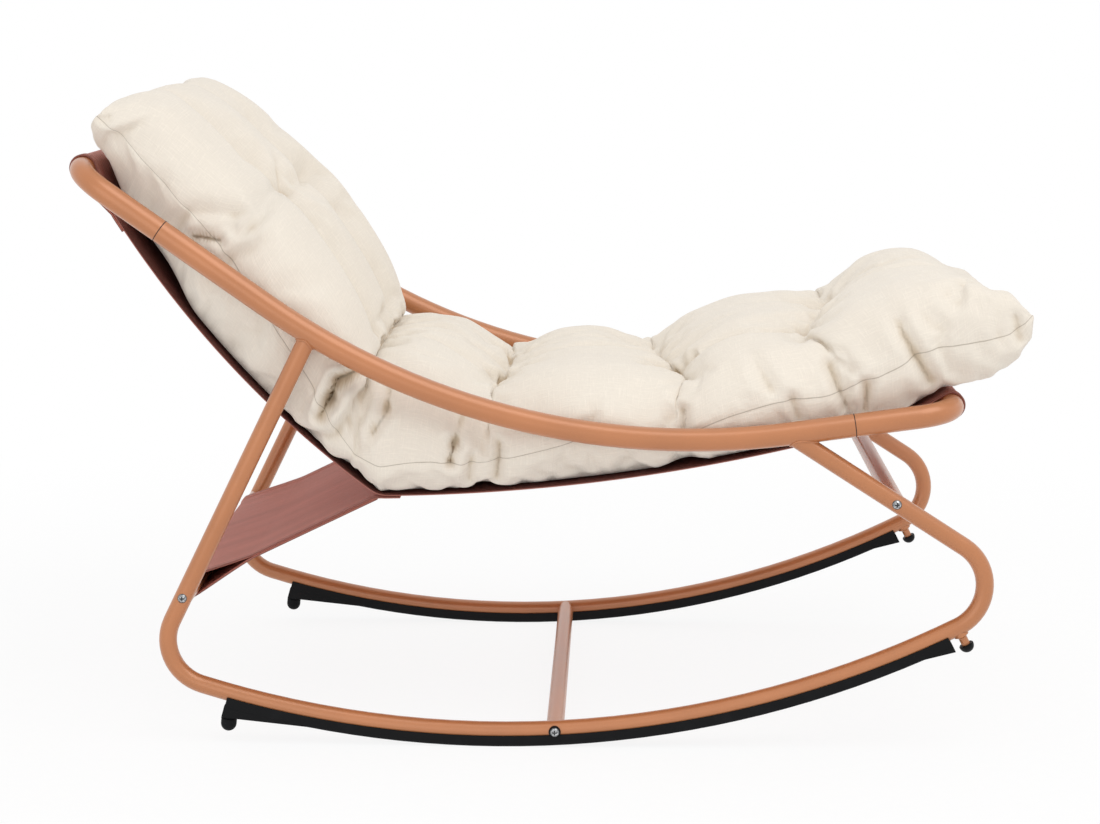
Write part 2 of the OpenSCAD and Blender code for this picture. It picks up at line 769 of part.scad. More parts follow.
// Mushroom cap pushed over the end of a peg
module peg_cap(s) {
    rim_h = cap_h - cap_d / 2;
    step = 0.8;
    color(BLACK)
        side(s)
            aim(on_runner(front_end, runner_r + peg_reach), front_end - 90)
                difference() {
                    rotate_extrude($fn = tube_fn) {
                        square([cap_d / 2 - step, step]);
                        translate([0, step])
                            square([cap_d / 2, rim_h - step]);
                        translate([0, rim_h])
                            intersection() {
                                circle(d = cap_d, $fn = tube_fn);
                                square([cap_d, cap_d]);
                            }
                    }
                    translate([0, 0, -cut])
                        cylinder(h = cap_h / 2 + cut + bore_gap, d = peg_d + 2 * fit_gap,
                            $fn = tube_fn);
                }
}

// Line of points moved sideways by d, to the left of its direction where d is positive
function beside(line, d) = [for (i = [0:len(line) - 1])
    let (a = bearing(line[max(i - 1, 0)], line[min(i + 1, len(line) - 1)]))
    line[i] + d * dir(a + 90)];
function backwards(line) = [for (i = [len(line) - 1:-1:0]) line[i]];

// Outline of a loop round c that is pulled towards angle a and closes at half_angle
function loop_arc(c, r, a, half_angle) =
    let (from = 90 - half_angle, steps = 24)
    [for (i = [0:steps]) c + r * dir(a - from - i * (360 - 2 * from) / steps)];

// Hollow of such a loop, whose two tangents meet in a point
module loop_hollow(c, r, a, half_angle) {
    polygon(concat(loop_arc(c, r, a, half_angle), [c + r / sin(half_angle) * dir(a)]));
}

module cloth_width() {
    translate([0, sling_w / 2, 0])
        rotate([90, 0, 0])
            linear_extrude(height = sling_w)
                children();
}

module sling() {
    tip = sling_t / 2 / sin(sleeve_angle);
    line = concat([head_merge - tip * dir(head_pull_a)], back_line,
        [for (i = [1:run_steps]) seat_line[i]], [foot_merge - tip * dir(foot_pull_a)]);
    color(SLING_COLOUR)
        cloth_width()
            difference() {
                polygon(concat(beside(line, sling_t / 2),
                    loop_arc(foot_bar, sleeve_out_r, foot_pull_a, sleeve_angle),
                    backwards(beside(line, -sling_t / 2)),
                    loop_arc(head_bar, sleeve_out_r, head_pull_a, sleeve_angle)));
                loop_hollow(head_bar, sleeve_in_r, head_pull_a, sleeve_angle);
                loop_hollow(foot_bar, sleeve_in_r, foot_pull_a, sleeve_angle);
            }
}

module tie_panel() {
    tip = tie_t / 2 / sin(tie_angle);
    line = [rear_cross + (tie_reach - tip) * dir(tie_a), tie_fold - tie_t * dir(tie_a),
        tie_fold, tie_fold + tie_lap * dir(tie_seat_a)];
    color(SLING_COLOUR)
        cloth_width()
            difference() {
                polygon(concat(beside(line, tie_t / 2), backwards(beside(line, -tie_t / 2)),
                    loop_arc(rear_cross, tie_out_r, tie_a, tie_angle)));
                loop_hollow(rear_cross, tie_in_r, tie_a, tie_angle);
            }
}

// Triangles that close an end ring whose first point is number base
function cap_faces(base) = [for (i = [1:ring_n - 2]) [base, base + i + 1, base + i]];

module cushion() {
    color(CUSHION_COLOUR)
        polyhedron(
            points = [for (r = CUSHION_RINGS) each r],
            faces = concat(
                [for (f = cap_faces(0)) f],
                [for (j = [0:last_ring - 1], i = [0:ring_n - 1])
                    let (p = j * ring_n, q = p + ring_n, n = (i + 1) % ring_n)
                    each [[p + i, q + n, q + i], [p + i, p + n, q + n]]],
                [for (f = cap_faces(last_ring * ring_n)) [f[0], f[2], f[1]]]),
            convexity = 8);
}

module right_side_rail() { side_rail(RIGHT); }
module left_side_rail() { side_rail(LEFT); }
module right_head_joiner() { joiner(RIGHT, head_seam, head_a); }
module left_head_joiner() { joiner(LEFT, head_seam, head_a); }
module right_foot_joiner() { joiner(RIGHT, foot_seam, foot_a); }
module left_foot_joiner() { joiner(LEFT, foot_seam, foot_a); }
module right_rocker_tube() { rocker_tube(RIGHT); }
module left_rocker_tube() { rocker_tube(LEFT); }
module rear_cross_tube() { cross_tube(rear_cross, rear_leg_a); }
module front_cross_tube() { cross_tube(front_cross, front_leg_a); }
module base_cross_tube() { cross_tube(base_cross, base_cross_a); }
module rear_cross_plugs() { cross_plugs(rear_cross); }
module front_cross_plugs() { cross_plugs(front_cross); }
module base_cross_plugs() { cross_plugs(base_cross); }
module rear_screws() { screw_pair(rear_cross, head_seat_y); }
module front_screws() { screw_pair(front_cross, head_seat_y); }
module base_screws() { screw_pair(base_cross, base_seat_y); }
module right_runner_pad() { runner_pad(RIGHT); }
module left_runner_pad() { runner_pad(LEFT); }
module right_pad_screws() { pad_screw_row(RIGHT); }
module left_pad_screws() { pad_screw_row(LEFT); }
module right_rear_bumper() { rear_bumper(RIGHT); }
module left_rear_bumper() { rear_bumper(LEFT); }
module right_front_peg() { front_peg(RIGHT); }
module left_front_peg() { front_peg(LEFT); }
module right_peg_cap() { peg_cap(RIGHT); }
module left_peg_cap() { peg_cap(LEFT); }

right_side_rail();
left_side_rail();
head_bow();
foot_bow();
right_head_joiner();
left_head_joiner();
right_foot_joiner();
left_foot_joiner();
right_rocker_tube();
left_rocker_tube();
rear_cross_tube();
front_cross_tube();
base_cross_tube();
rear_cross_plugs();
front_cross_plugs();
base_cross_plugs();
rear_screws();
front_screws();
base_screws();
base_screw_washers();
right_runner_pad();
left_runner_pad();
right_pad_screws();
left_pad_screws();
right_rear_bumper();
left_rear_bumper();
right_front_peg();
left_front_peg();
right_peg_cap();
left_peg_cap();
sling();
tie_panel();
cushion();
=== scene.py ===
"""Rocking lounge chair: finishes for its tube frame, and its sling, tie panel and tufted cushion as cloth."""

import math

import bpy
import numpy as np
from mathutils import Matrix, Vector


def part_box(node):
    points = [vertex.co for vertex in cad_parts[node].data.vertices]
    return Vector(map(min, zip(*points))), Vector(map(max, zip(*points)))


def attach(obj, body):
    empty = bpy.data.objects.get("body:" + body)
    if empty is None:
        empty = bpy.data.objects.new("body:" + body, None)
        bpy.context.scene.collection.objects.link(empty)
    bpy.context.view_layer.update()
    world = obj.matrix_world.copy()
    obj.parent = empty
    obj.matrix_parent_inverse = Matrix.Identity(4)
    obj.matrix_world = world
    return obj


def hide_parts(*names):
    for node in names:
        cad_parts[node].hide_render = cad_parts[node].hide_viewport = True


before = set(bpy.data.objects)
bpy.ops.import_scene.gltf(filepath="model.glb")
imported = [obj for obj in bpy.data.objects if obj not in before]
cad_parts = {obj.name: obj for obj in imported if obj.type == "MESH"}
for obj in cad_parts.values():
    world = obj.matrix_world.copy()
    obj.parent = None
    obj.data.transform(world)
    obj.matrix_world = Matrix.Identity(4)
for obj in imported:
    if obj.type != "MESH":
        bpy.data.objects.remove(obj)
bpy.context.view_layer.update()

bl_info = {
    "name": "Rocking Lounge Chair",
    "version": (1, 0, 0),
    "blender": (4, 5, 0),
    "location": "3D View > Sidebar > Lounge Chair",
    "description": "Dresses the frame of a rocking lounge chair with its cloth, its cushion and its finishes",
    "category": "Object",
}

SIDES = {"right": -1, "left": 1}


def box(node):
    """Lowest and highest corner of a frame node as arrays."""
    lo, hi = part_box(node)
    return np.array(lo), np.array(hi)


# Plane geometry: points are x, z in the plane of a side frame, in metres


TURN = 2 * math.pi


def direction(degrees):
    return np.array([math.cos(math.radians(degrees)), math.sin(math.radians(degrees))])


def bearing(p, q):
    return math.degrees(math.atan2(q[1] - p[1], q[0] - p[0]))


def mix(p, q, t):
    return p + (q - p) * t


def ease(t):
    """Smooth step from 0 to 1."""
    t = np.clip(t, 0, 1)
    return t * t * (3 - 2 * t)


def round_turns(steps):
    """Angles round a whole turn."""
    return np.linspace(0, TURN, steps, endpoint=False)


def normals_of(line):
    """Unit normals to the left of a line of points."""
    line = np.asarray(line)
    along = np.gradient(line, axis=0)
    along /= np.linalg.norm(along, axis=1)[:, None]
    return np.stack([-along[:, 1], along[:, 0]], 1)


def lengths_along(line):
    """Distance along a line at each of its points."""
    steps = np.linalg.norm(np.diff(line, axis=0), axis=1)
    return np.concatenate([[0], np.cumsum(steps)])


def resampled(line, places):
    """Points of a line at the given distances along it."""
    line = np.asarray(line)
    s = lengths_along(line)
    return np.stack([np.interp(places, s, line[:, i]) for i in range(line.shape[1])], -1)


# Where the frame's pieces lie

RAIL_R = 0.016
TUBE_R = 0.0125
HEAD_BOW, FOOT_BOW = box("head_bow"), box("foot_bow")
HEAD_BAR = np.array([HEAD_BOW[0][0] + RAIL_R, HEAD_BOW[1][2] - RAIL_R])
FOOT_BAR = np.array([FOOT_BOW[1][0] - RAIL_R, FOOT_BOW[1][2] - RAIL_R])
REAR_CROSS = sum(box("rear_cross_tube"))[[0, 2]] / 2
SIDE_Y = box("left_side_rail")[1][1] - RAIL_R
SLING_HALF = box("sling")[1][1]


# Properties


class SlingSizes(bpy.types.PropertyGroup):
    fold_x: bpy.props.FloatProperty(name="Fold X", description="Place of the fold between back and seat",
        default=-0.2435, unit="LENGTH")
    fold_z: bpy.props.FloatProperty(name="Fold height", description="Height of the fold above the floor",
        default=0.345, unit="LENGTH")
    back_sag: bpy.props.FloatProperty(name="Back sag",
        description="Sag of the back run below a straight line",
        default=0.026, unit="LENGTH")
    seat_sag: bpy.props.FloatProperty(name="Seat sag",
        description="Sag of the seat run below a straight line",
        default=0.026, unit="LENGTH")
    sleeve_angle: bpy.props.FloatProperty(name="Sleeve angle",
        description="Half the angle at which a sleeve closes",
        default=math.radians(15), subtype="ANGLE")
    tie_angle: bpy.props.FloatProperty(name="Tie loop angle",
        description="Half the angle at which the tie loop closes",
        default=math.radians(9), subtype="ANGLE")
    tie_lap: bpy.props.FloatProperty(name="Tie lap",
        description="Width of the tie panel's lap under the seat",
        default=0.034, unit="LENGTH")
    cloth: bpy.props.FloatProperty(name="Cloth", description="Thickness of one layer of the sling's fabric",
        default=0.0013, unit="LENGTH")
    layer: bpy.props.FloatProperty(name="Layer pitch",
        description="Distance between two layers sewn together",
        default=0.0016, unit="LENGTH")
    hem: bpy.props.FloatProperty(name="Hem", description="Width of the folded side hems",
        default=0.018, unit="LENGTH")
    tail: bpy.props.FloatProperty(name="Sleeve lap", description="Length of the lap that closes a sleeve",
        default=0.030, unit="LENGTH")


class CushionSizes(bpy.types.PropertyGroup):
    half_width: bpy.props.FloatProperty(name="Half width", description="From the middle to a side seam",
        default=0.295, unit="LENGTH")
    clearance: bpy.props.FloatProperty(name="Clearance",
        description="Gap between the cushion and what it lies on",
        default=0.0014, unit="LENGTH")
    swell: bpy.props.FloatProperty(name="Swell", description="Most that the simulation may move a point",
        default=0.024, unit="LENGTH")
    deflated: bpy.props.FloatProperty(name="Deflated",
        description="How far below its full height the cloth starts",
        default=0.022, unit="LENGTH")
    pressure: bpy.props.FloatProperty(name="Pressure",
        description="Pressure of the filling in the simulation",
        default=4.0)
    slack: bpy.props.FloatProperty(name="Slack",
        description="Share by which the fabric is cut larger than its form",
        default=0.09, subtype="FACTOR")
    point_gap: bpy.props.FloatProperty(name="Point gap", description="Distance between points of the cloth",
        default=0.0085, unit="LENGTH")
    columns: bpy.props.IntProperty(name="Columns", description="Points across each panel of the cushion",
        default=84)


class Finishes(bpy.types.PropertyGroup):
    frame_colour: bpy.props.FloatVectorProperty(name="Frame", description="Colour of the powder coat",
        default=(0.485, 0.184, 0.068), subtype="COLOR")
    sling_colour: bpy.props.FloatVectorProperty(name="Sling", description="Colour of the woven fabric",
        default=(0.575, 0.212, 0.162), subtype="COLOR")
    cushion_colour: bpy.props.FloatVectorProperty(name="Cushion", description="Colour of the linen",
        default=(0.835, 0.765, 0.668), subtype="COLOR")
    black_colour: bpy.props.FloatVectorProperty(name="Black", description="Colour of the pads and caps",
        default=(0.0028, 0.0030, 0.0036), subtype="COLOR")


class StageSizes(bpy.types.PropertyGroup):
    lens: bpy.props.FloatProperty(name="Lens",
        description="Focal length on a 36 mm wide sensor, in millimetres",
        default=73.8)
    camera_place: bpy.props.FloatVectorProperty(name="Camera", description="Place of the camera",
        default=(0.0924, -3.3475, 1.0286), subtype="TRANSLATION")
    pitch: bpy.props.FloatProperty(name="Pitch", description="How far the camera looks down",
        default=math.radians(10.379), subtype="ANGLE")
    yaw: bpy.props.FloatProperty(name="Yaw", description="How far the camera looks towards the head end",
        default=math.radians(1.774), subtype="ANGLE")
    key_strength: bpy.props.FloatProperty(name="Key light", description="Power of the key light in watts",
        default=33.0)
    fill_strength: bpy.props.FloatProperty(name="Fill light", description="Power of the fill light in watts",
        default=9.0)
    sky_strength: bpy.props.FloatProperty(name="Sky", description="Strength of the light from all round",
        default=0.86)


# Node graphs


class Signal:
    """A socket that takes part in sums."""

    def __init__(self, graph, socket):
        self.graph, self.socket = graph, socket

    def math(self, operation, *values):
        return self.graph.node("ShaderNodeMath", {"operation": operation}, dict(enumerate(values)))

    def __add__(self, other):
        return self.math("ADD", self, other)

    __radd__ = __add__

    def __sub__(self, other):
        return self.math("SUBTRACT", self, other)

    def __rsub__(self, other):
        return self.math("SUBTRACT", other, self)

    def __mul__(self, other):
        return self.math("MULTIPLY", self, other)

    __rmul__ = __mul__

    def __truediv__(self, other):
        return self.math("DIVIDE", self, other)

    def __pow__(self, other):
        return self.math("POWER", self, other)

    def sine(self):
        return self.math("SINE", self)

    def wave(self, pitch):
        """A sine wave, with one turn for each pitch."""
        return (self * (TURN / pitch)).sine()

    def least(self, other):
        return self.math("MINIMUM", self, other)

    def most(self, other):
        return self.math("MAXIMUM", self, other)

    def size(self):
        return self.math("ABSOLUTE", self)

    def ramp(self, low, high):
        """0 at low, 1 at high, smooth between."""
        return self.graph.node("ShaderNodeMapRange", {"interpolation_type": "SMOOTHSTEP"},
            {"Value": self, "From Min": low, "From Max": high})


class Graph:
    """A node tree, filled through one method."""

    def __init__(self, tree):
        self.tree = tree
        tree.nodes.clear()

    def node(self, kind, settings=None, sockets=None, out=0):
        """Makes a node, sets its settings and then its sockets, and returns the outputs asked for."""
        made = self.tree.nodes.new(kind)
        for key, value in (settings or {}).items():
            setattr(made, key, value)
        for key, value in (sockets or {}).items():
            if isinstance(value, Signal):
                self.tree.links.new(value.socket, made.inputs[key])
            else:
                made.inputs[key].default_value = value
        if isinstance(out, tuple):
            return [Signal(self, made.outputs[key]) for key in out]
        return Signal(self, made.outputs[out]) if made.outputs else None

    def seen_ray(self):
        """1 for rays that show the background: straight to the camera, mirrored or through glass."""
        camera, glossy, through = self.node("ShaderNodeLightPath",
            out=("Is Camera Ray", "Is Glossy Ray", "Is Transmission Ray"))
        return camera.most(glossy).most(through)


class Finish(Graph):
    """A material around one Principled shader."""

    def __init__(self, name):
        self.material = bpy.data.materials.new(name)
        self.material.use_nodes = True
        super().__init__(self.material.node_tree)

    def over(self, share, low, high):
        """From the low colour to the high one, by share. Each is a colour or a signal."""
        low, high = [c if isinstance(c, Signal) else (*c[:3], 1.0) for c in (low, high)]
        return self.node("ShaderNodeMix", {"data_type": "RGBA"}, {0: share, 6: low, 7: high}, 2)

    def place(self):
        return self.node("ShaderNodeTexCoord", out="Object")

    def uv(self):
        return self.node("ShaderNodeTexCoord", out="UV")

    def scaled(self, vector, scale):
        return self.node("ShaderNodeMapping", {}, {"Vector": vector, "Scale": scale})

    def noise(self, vector, scale, detail=2.0, roughness=0.5):
        return self.node("ShaderNodeTexNoise", {},
            {"Vector": vector, "Scale": scale, "Detail": detail, "Roughness": roughness})

    def stretched(self, along, across, detail, roughness=0.5):
        """Noise on the cloth, with its own scale along and across it."""
        return self.noise(self.scaled(self.uv(), (along, across, 1.0)), 1.0, detail, roughness)

    def parts(self, vector):
        """The x, y and z of a vector."""
        return self.node("ShaderNodeSeparateXYZ", {}, {0: vector}, (0, 1, 2))

    def attribute(self, name):
        return self.node("ShaderNodeAttribute", {"attribute_name": name}, out="Fac")

    def bump(self, height, distance, strength=1.0):
        return self.node("ShaderNodeBump", {}, {"Height": height, "Distance": distance, "Strength": strength})

    def close(self, **sockets):
        """Adds the Principled shader with its sockets, and the output."""
        named = {key.replace("_", " "): value for key, value in sockets.items()}
        shader = self.node("ShaderNodeBsdfPrincipled", {}, named)
        self.node("ShaderNodeOutputMaterial", {}, {"Surface": shader})
        return self.material


class Tree(Graph):
    """A Geometry Nodes tree with named inputs."""

    def __init__(self, name, inputs):
        self.group = bpy.data.node_groups.new(name, "GeometryNodeTree")
        super().__init__(self.group)
        face = self.group.interface
        face.new_socket("Geometry", in_out="INPUT", socket_type="NodeSocketGeometry")
        for label, value in inputs.items():
            face.new_socket(label, in_out="INPUT", socket_type="NodeSocketFloat").default_value = value
        face.new_socket("Material", in_out="INPUT", socket_type="NodeSocketMaterial")
        face.new_socket("Geometry", in_out="OUTPUT", socket_type="NodeSocketGeometry")

    def given(self, label):
        return self.node("NodeGroupInput", out=label)

    def curve(self, gap):
        """The given lines as curves, with points at an even gap."""
        curve = self.node("GeometryNodeMeshToCurve", {}, {"Mesh": self.given("Geometry")})
        return self.node("GeometryNodeResampleCurve", {"mode": "LENGTH"}, {"Curve": curve, "Length": gap})

    def close(self, geometry):
        real = self.node("GeometryNodeRealizeInstances", {}, {0: geometry})
        painted = self.node("GeometryNodeSetMaterial", {},
            {"Geometry": real, "Material": self.given("Material")})
        self.node("NodeGroupOutput", {}, {0: painted})
        return self.group


# Materials


def shade(colour, factor):
    return tuple(min(1.0, c * factor) for c in colour[:3])


def powder_coat(colour):
    """Satin powder coat: fine orange peel, a breath of cloudiness, and a clear coat."""
    f = Finish("powder_coat")
    place = f.place()
    cloud = f.noise(place, 9.0, 3.0)
    speck = f.noise(place, 900.0, 1.0)
    peel = f.noise(place, 420.0, 2.0)
    base = f.over(cloud.ramp(0.3, 0.7), shade(colour, 0.95), shade(colour, 1.05))
    base = f.over(speck.ramp(0.56, 0.72) * 0.35, base, shade(colour, 1.22))
    return f.close(
        Base_Color=base, Roughness=0.32 + cloud * 0.08, Metallic=0.20, Coat_Weight=0.55, Coat_Roughness=0.24,
        Normal=f.bump(peel, 0.00010, 0.55))


def zinc_steel(name, tone, roughness):
    """Bright plated steel with turning marks."""
    f = Finish(name)
    place = f.place()
    cloud = f.noise(place, 160.0, 3.0)
    return f.close(
        Base_Color=f.over(cloud.ramp(0.3, 0.7), shade(tone, 0.86), tone), Metallic=1.0,
        Roughness=roughness + cloud * 0.12, Normal=f.bump(f.noise(place, 1500.0), 0.00004, 0.4))


def plated_screw(node, tone):
    """Plated screw, with a painted dark reflection round the rim of its head and painted shade in its cross
    recess.
    """
    f = Finish(node + "_plating")
    lo, hi = box(node)
    x, y, z = f.parts(f.place())
    middle_x, _, middle_z = (lo + hi) / 2
    away = ((x - middle_x) ** 2.0 + (z - middle_z) ** 2.0) ** 0.5
    rim = away.ramp(0.0046, 0.0060)
    recess_shade = y.size().ramp(hi[1] - 0.0006, hi[1] - 0.0016) * away.ramp(0.0044, 0.0036)
    cloud = f.noise(f.place(), 420.0, 3.0)
    base = f.over(cloud.ramp(0.35, 0.65), shade(tone, 0.45), shade(tone, 1.5))
    # Painted reflection: the rim of the head is darkened.
    base = f.over(rim * 0.85, base, shade(tone, 0.16))
    # Painted shade in the cross recess.
    base = f.over(recess_shade * 0.92, base, shade(tone, 0.08))
    return f.close(
        Base_Color=base, Metallic=1.0, Roughness=0.3, Normal=f.bump(f.noise(f.place(), 1500.0), 0.00004, 0.4))


def moulded_black(name, colour, roughness, grain):
    """Moulded black plastic or rubber with an etched grain."""
    f = Finish(name)
    place = f.place()
    etched = f.noise(place, grain, 3.0, 0.6)
    dust = f.noise(place, 30.0, 4.0)
    return f.close(
        Base_Color=f.over(dust.ramp(0.45, 0.8), colour, shade(colour, 1.9)),
        Roughness=roughness + etched * 0.14, Specular_IOR_Level=0.16,
        Normal=f.bump(etched, 0.00022, 0.7))


RIB_PITCH, YARN_PITCH, CORD_PITCH = 0.0024, 0.0017, 0.0096
HEM_LINES = (0.0, 0.006, 0.012)


def woven_mesh(colour):
    """Coated mesh fabric: ribs, crossing yarns, small dark gaps, hem lines, and painted shade on the face
    that lies under the cushion.
    """
    f = Finish("woven_mesh")
    along, across, _ = f.parts(f.uv())
    drift = f.stretched(3.0, 30.0, 3.0)
    rib, yarn = across.wave(RIB_PITCH), along.wave(YARN_PITCH)
    cord = (across * (TURN / CORD_PITCH) + drift * 3.0).sine()
    weave = rib * 0.5 + yarn * 0.35
    gap = (rib + yarn).ramp(-1.1, -1.75)
    tone = (cord * 0.22 + drift * 0.9 + weave * 0.25).ramp(-0.1, 1.1)
    base = f.over(tone, shade(colour, 0.74), shade(colour, 1.22))
    base = f.over(gap * 0.55, base, shade(colour, 0.22))
    fold = (across.size() - SLING_HALF).size()
    for inset in HEM_LINES:
        base = f.over((fold - inset).size().ramp(0.0012, 0.0004) * 0.8, base, shade(colour, 0.25))
    # Painted shade: the face under the cushion is darkened as if in the cushion's shadow.
    painted_shade_face = [0.25 * value ** 1.6 for value in colour[:3]]
    base = f.over(f.attribute("inner") * 0.93, base, painted_shade_face)
    slack = f.stretched(16.0, 7.0, 2.0)
    return f.close(
        Base_Color=base, Roughness=0.62 - rib * 0.06, Specular_IOR_Level=0.4,
        Normal=f.bump(weave + cord * 0.4 + slack * 6.0, 0.0006, 0.8))


def fold_shade_lines(f):
    """Painted shade: thin dark lines at the bottom of the deepest folds of the sides."""
    place = f.place()
    x, y, z = f.parts(place)
    drift = f.noise(place, 70.0, 2.0)
    x, z = x + (drift - 0.5) * 0.012, z + (drift - 0.5) * 0.006
    broken = f.noise(place, 120.0, 1.0).ramp(0.36, 0.60)
    total = None
    for (x0, z0), (x1, z1), _, _, dark in side_folds():
        if not dark:
            continue
        dx, dz = x1 - x0, z1 - z0
        t = (((x - x0) * dx + (z - z0) * dz) / (dx * dx + dz * dz)).most(0.0).least(1.0)
        away = (((x - t * dx - x0) ** 2.0) + ((z - t * dz - z0) ** 2.0)) ** 0.5
        line = away.ramp(0.0030, 0.0004) * dark
        total = total.most(line) if total else line
    return total * (broken * 0.7 + 0.3) * y.size().ramp(0.22, 0.25)


LINEN_PITCH = 0.0013
# Colours of the painted shade in folds and at the bottoms of deep folds, and of the seam line
PAINTED_FOLD_SHADE, SEAM_TONE, PAINTED_CREASE_SHADE = (0.44, 0.30, 0.14), (0.30, 0.24, 0.17), (0.13, 0.07, 0.02)


def linen(colour):
    """Slubby linen: a plain weave, long thick threads both ways, and painted shade in its folds and along the
    bottoms of the deepest side folds.
    """
    f = Finish("linen")
    along, across, _ = f.parts(f.uv())
    thick, thin = f.stretched(40.0, 520.0, 2.0), f.stretched(560.0, 36.0, 2.0)
    weave = along.wave(LINEN_PITCH) * across.wave(LINEN_PITCH)
    slub = thick.ramp(0.46, 0.74) + thin.ramp(0.48, 0.76)
    cloud = f.stretched(6.0, 6.0, 3.0)
    mottle = f.stretched(260.0, 260.0, 3.0, 0.6)
    base = f.over((cloud * 0.35 + slub * 0.30 + mottle * 0.45 + weave * 0.08).ramp(0.1, 1.0),
        shade(colour, 0.925), shade(colour, 1.035))
    # Painted shade in hollows, valleys and tufts, from the fold attribute.
    base = f.over(f.attribute("fold") * 0.55, base, PAINTED_FOLD_SHADE)
    base = f.over(f.attribute("edge").ramp(0.0010, 0.0003) * 0.5, base, SEAM_TONE)
    # Painted shade: thin dark lines at the bottoms of the deepest side folds.
    base = f.over(fold_shade_lines(f), base, PAINTED_CREASE_SHADE)
    pucker = f.attribute("pucker")
    crinkle = f.stretched(34.0, 60.0, 3.0)
    crease = f.stretched(11.0, 16.0, 2.0, 0.45)
    height = weave * 0.10 + slub * 0.30 + crinkle * (pucker * 3.2 + 0.35) + crease * 1.4
    return f.close(
        Base_Color=base, Roughness=0.88, Specular_IOR_Level=0.25, Sheen_Weight=0.25, Sheen_Roughness=0.5,
        Normal=f.bump(height, 0.0011, 0.55))


def thread(name, colour):
    f = Finish(name)
    place = f.place()
    twist = f.noise(place, 1400.0)
    return f.close(
        Base_Color=f.over(twist.ramp(0.3, 0.7), shade(colour, 0.8), shade(colour, 1.1)), Roughness=0.7,
        Normal=f.bump(twist, 0.0001, 0.5))


# Meshes


def piece(name, points, faces, material, uv=None, attributes=None):
    """A mesh object with smooth faces at the world's origin."""
    mesh = bpy.data.meshes.new(name)
    mesh.from_pydata([tuple(map(float, p)) for p in points], [], [tuple(map(int, f)) for f in faces])
    mesh.update()
    mesh.polygons.foreach_set("use_smooth", [True] * len(mesh.polygons))
    if uv is not None:
        loops = np.zeros(len(mesh.loops), np.int32)
        mesh.loops.foreach_get("vertex_index", loops)
        flat = np.asarray(uv, np.float32)
        flat = flat[loops] if len(flat) == len(points) else flat
        mesh.uv_layers.new(name="cloth").data.foreach_set("uv", flat.ravel())
    for key, values in (attributes or {}).items():
        made = mesh.attributes.new(key, "FLOAT", "POINT")
        made.data.foreach_set("value", np.asarray(values, np.float32))
    made = bpy.data.objects.new(name, mesh)
    bpy.context.scene.collection.objects.link(made)
    mesh.materials.append(material)
    return made


def grid_faces(rows, columns, flip=False):
    """Quads of a grid of rows by columns points."""
    first = np.arange(rows - 1)[:, None] * columns + np.arange(columns - 1)[None, :]
    first = first.ravel()
    quads = np.stack([first, first + 1, first + columns + 1, first + columns], 1)
    return quads[:, ::-1] if flip else quads


def rim_of(index):
    """Point numbers round the edge of a grid, in order."""
    return np.concatenate([index[0, :-1], index[:-1, -1], index[-1, :0:-1], index[:0:-1, 0]])


def applied(ob, kind, **settings):
    """The object with one modifier made real."""
    made = ob.modifiers.new(kind.title(), kind)
    for key, value in settings.items():
        setattr(made, key, value)
    return baked(ob)


def baked(ob):
    """The object with all its modifiers made real."""
    evaluated = ob.evaluated_get(bpy.context.evaluated_depsgraph_get())
    mesh = bpy.data.meshes.new_from_object(evaluated)
    mesh.name = ob.name
    old = ob.data
    ob.modifiers.clear()
    ob.data = mesh
    bpy.data.meshes.remove(old)
    return ob


# Stitches and beads


def stitch_tree():
    """Short threads that follow a line: one small pill for each stitch."""
    t = Tree("stitches", {"Pitch": 0.004, "Length": 0.003, "Thread": 0.0004})
    tangent = t.node("GeometryNodeInputTangent")
    turn = t.node("FunctionNodeAlignRotationToVector", {"axis": "Z"}, {"Vector": tangent})
    pill = t.node("GeometryNodeMeshUVSphere", {}, {"Segments": 6, "Rings": 5, "Radius": 1.0})
    wide, long = t.given("Thread"), t.given("Length") * 0.5
    size = t.node("ShaderNodeCombineXYZ", {}, {0: wide, 1: wide, 2: long})
    return t.close(t.node("GeometryNodeInstanceOnPoints", {},
        {"Points": t.curve(t.given("Pitch")), "Instance": pill, "Rotation": turn, "Scale": size}))


def bead_tree():
    """A bead along a closed line, such as a weld, with ripples."""
    t = Tree("bead", {"Radius": 0.002, "Ripple": 0.0018, "Swing": 0.07, "Step": 0.0005})
    turns = t.node("GeometryNodeSplineParameter", out="Length") / t.given("Ripple")
    radius = ((turns * TURN).sine() * t.given("Swing") + 1.0) * t.given("Radius")
    ring = t.node("GeometryNodeCurvePrimitiveCircle", {"mode": "RADIUS"}, {"Resolution": 10, "Radius": 1.0})
    return t.close(t.node("GeometryNodeCurveToMesh", {},
        {"Curve": t.curve(t.given("Step")), "Profile Curve": ring, "Scale": radius}))


def along_lines(name, lines, group, material, closed=False, **inputs):
    """A plain mesh made by a tree on a set of lines of 3D points."""
    points, edges = [], []
    for line in lines:
        first, n = len(points), len(line)
        points += [tuple(map(float, p)) for p in line]
        edges += [(first + i, first + i + 1) for i in range(n - 1)]
        if closed:
            edges.append((first + n - 1, first))
    mesh = bpy.data.meshes.new(name)
    mesh.from_pydata(points, edges, [])
    ob = bpy.data.objects.new(name, mesh)
    bpy.context.scene.collection.objects.link(ob)
    made = ob.modifiers.new("Build", "NODES")
    made.node_group = group
    named = {item.name: item.identifier for item in group.interface.items_tree if item.in_out == "INPUT"}
    for label, value in inputs.items():
        made[named[label.replace("_", " ").title()]] = value
    made[named["Material"]] = material
    baked(ob)
    ob.data.polygons.foreach_set("use_smooth", [True] * len(ob.data.polygons))
    return ob


# Stage

FLOOR_RADIUS = 30.0
WHITE = (1, 1, 1, 1)


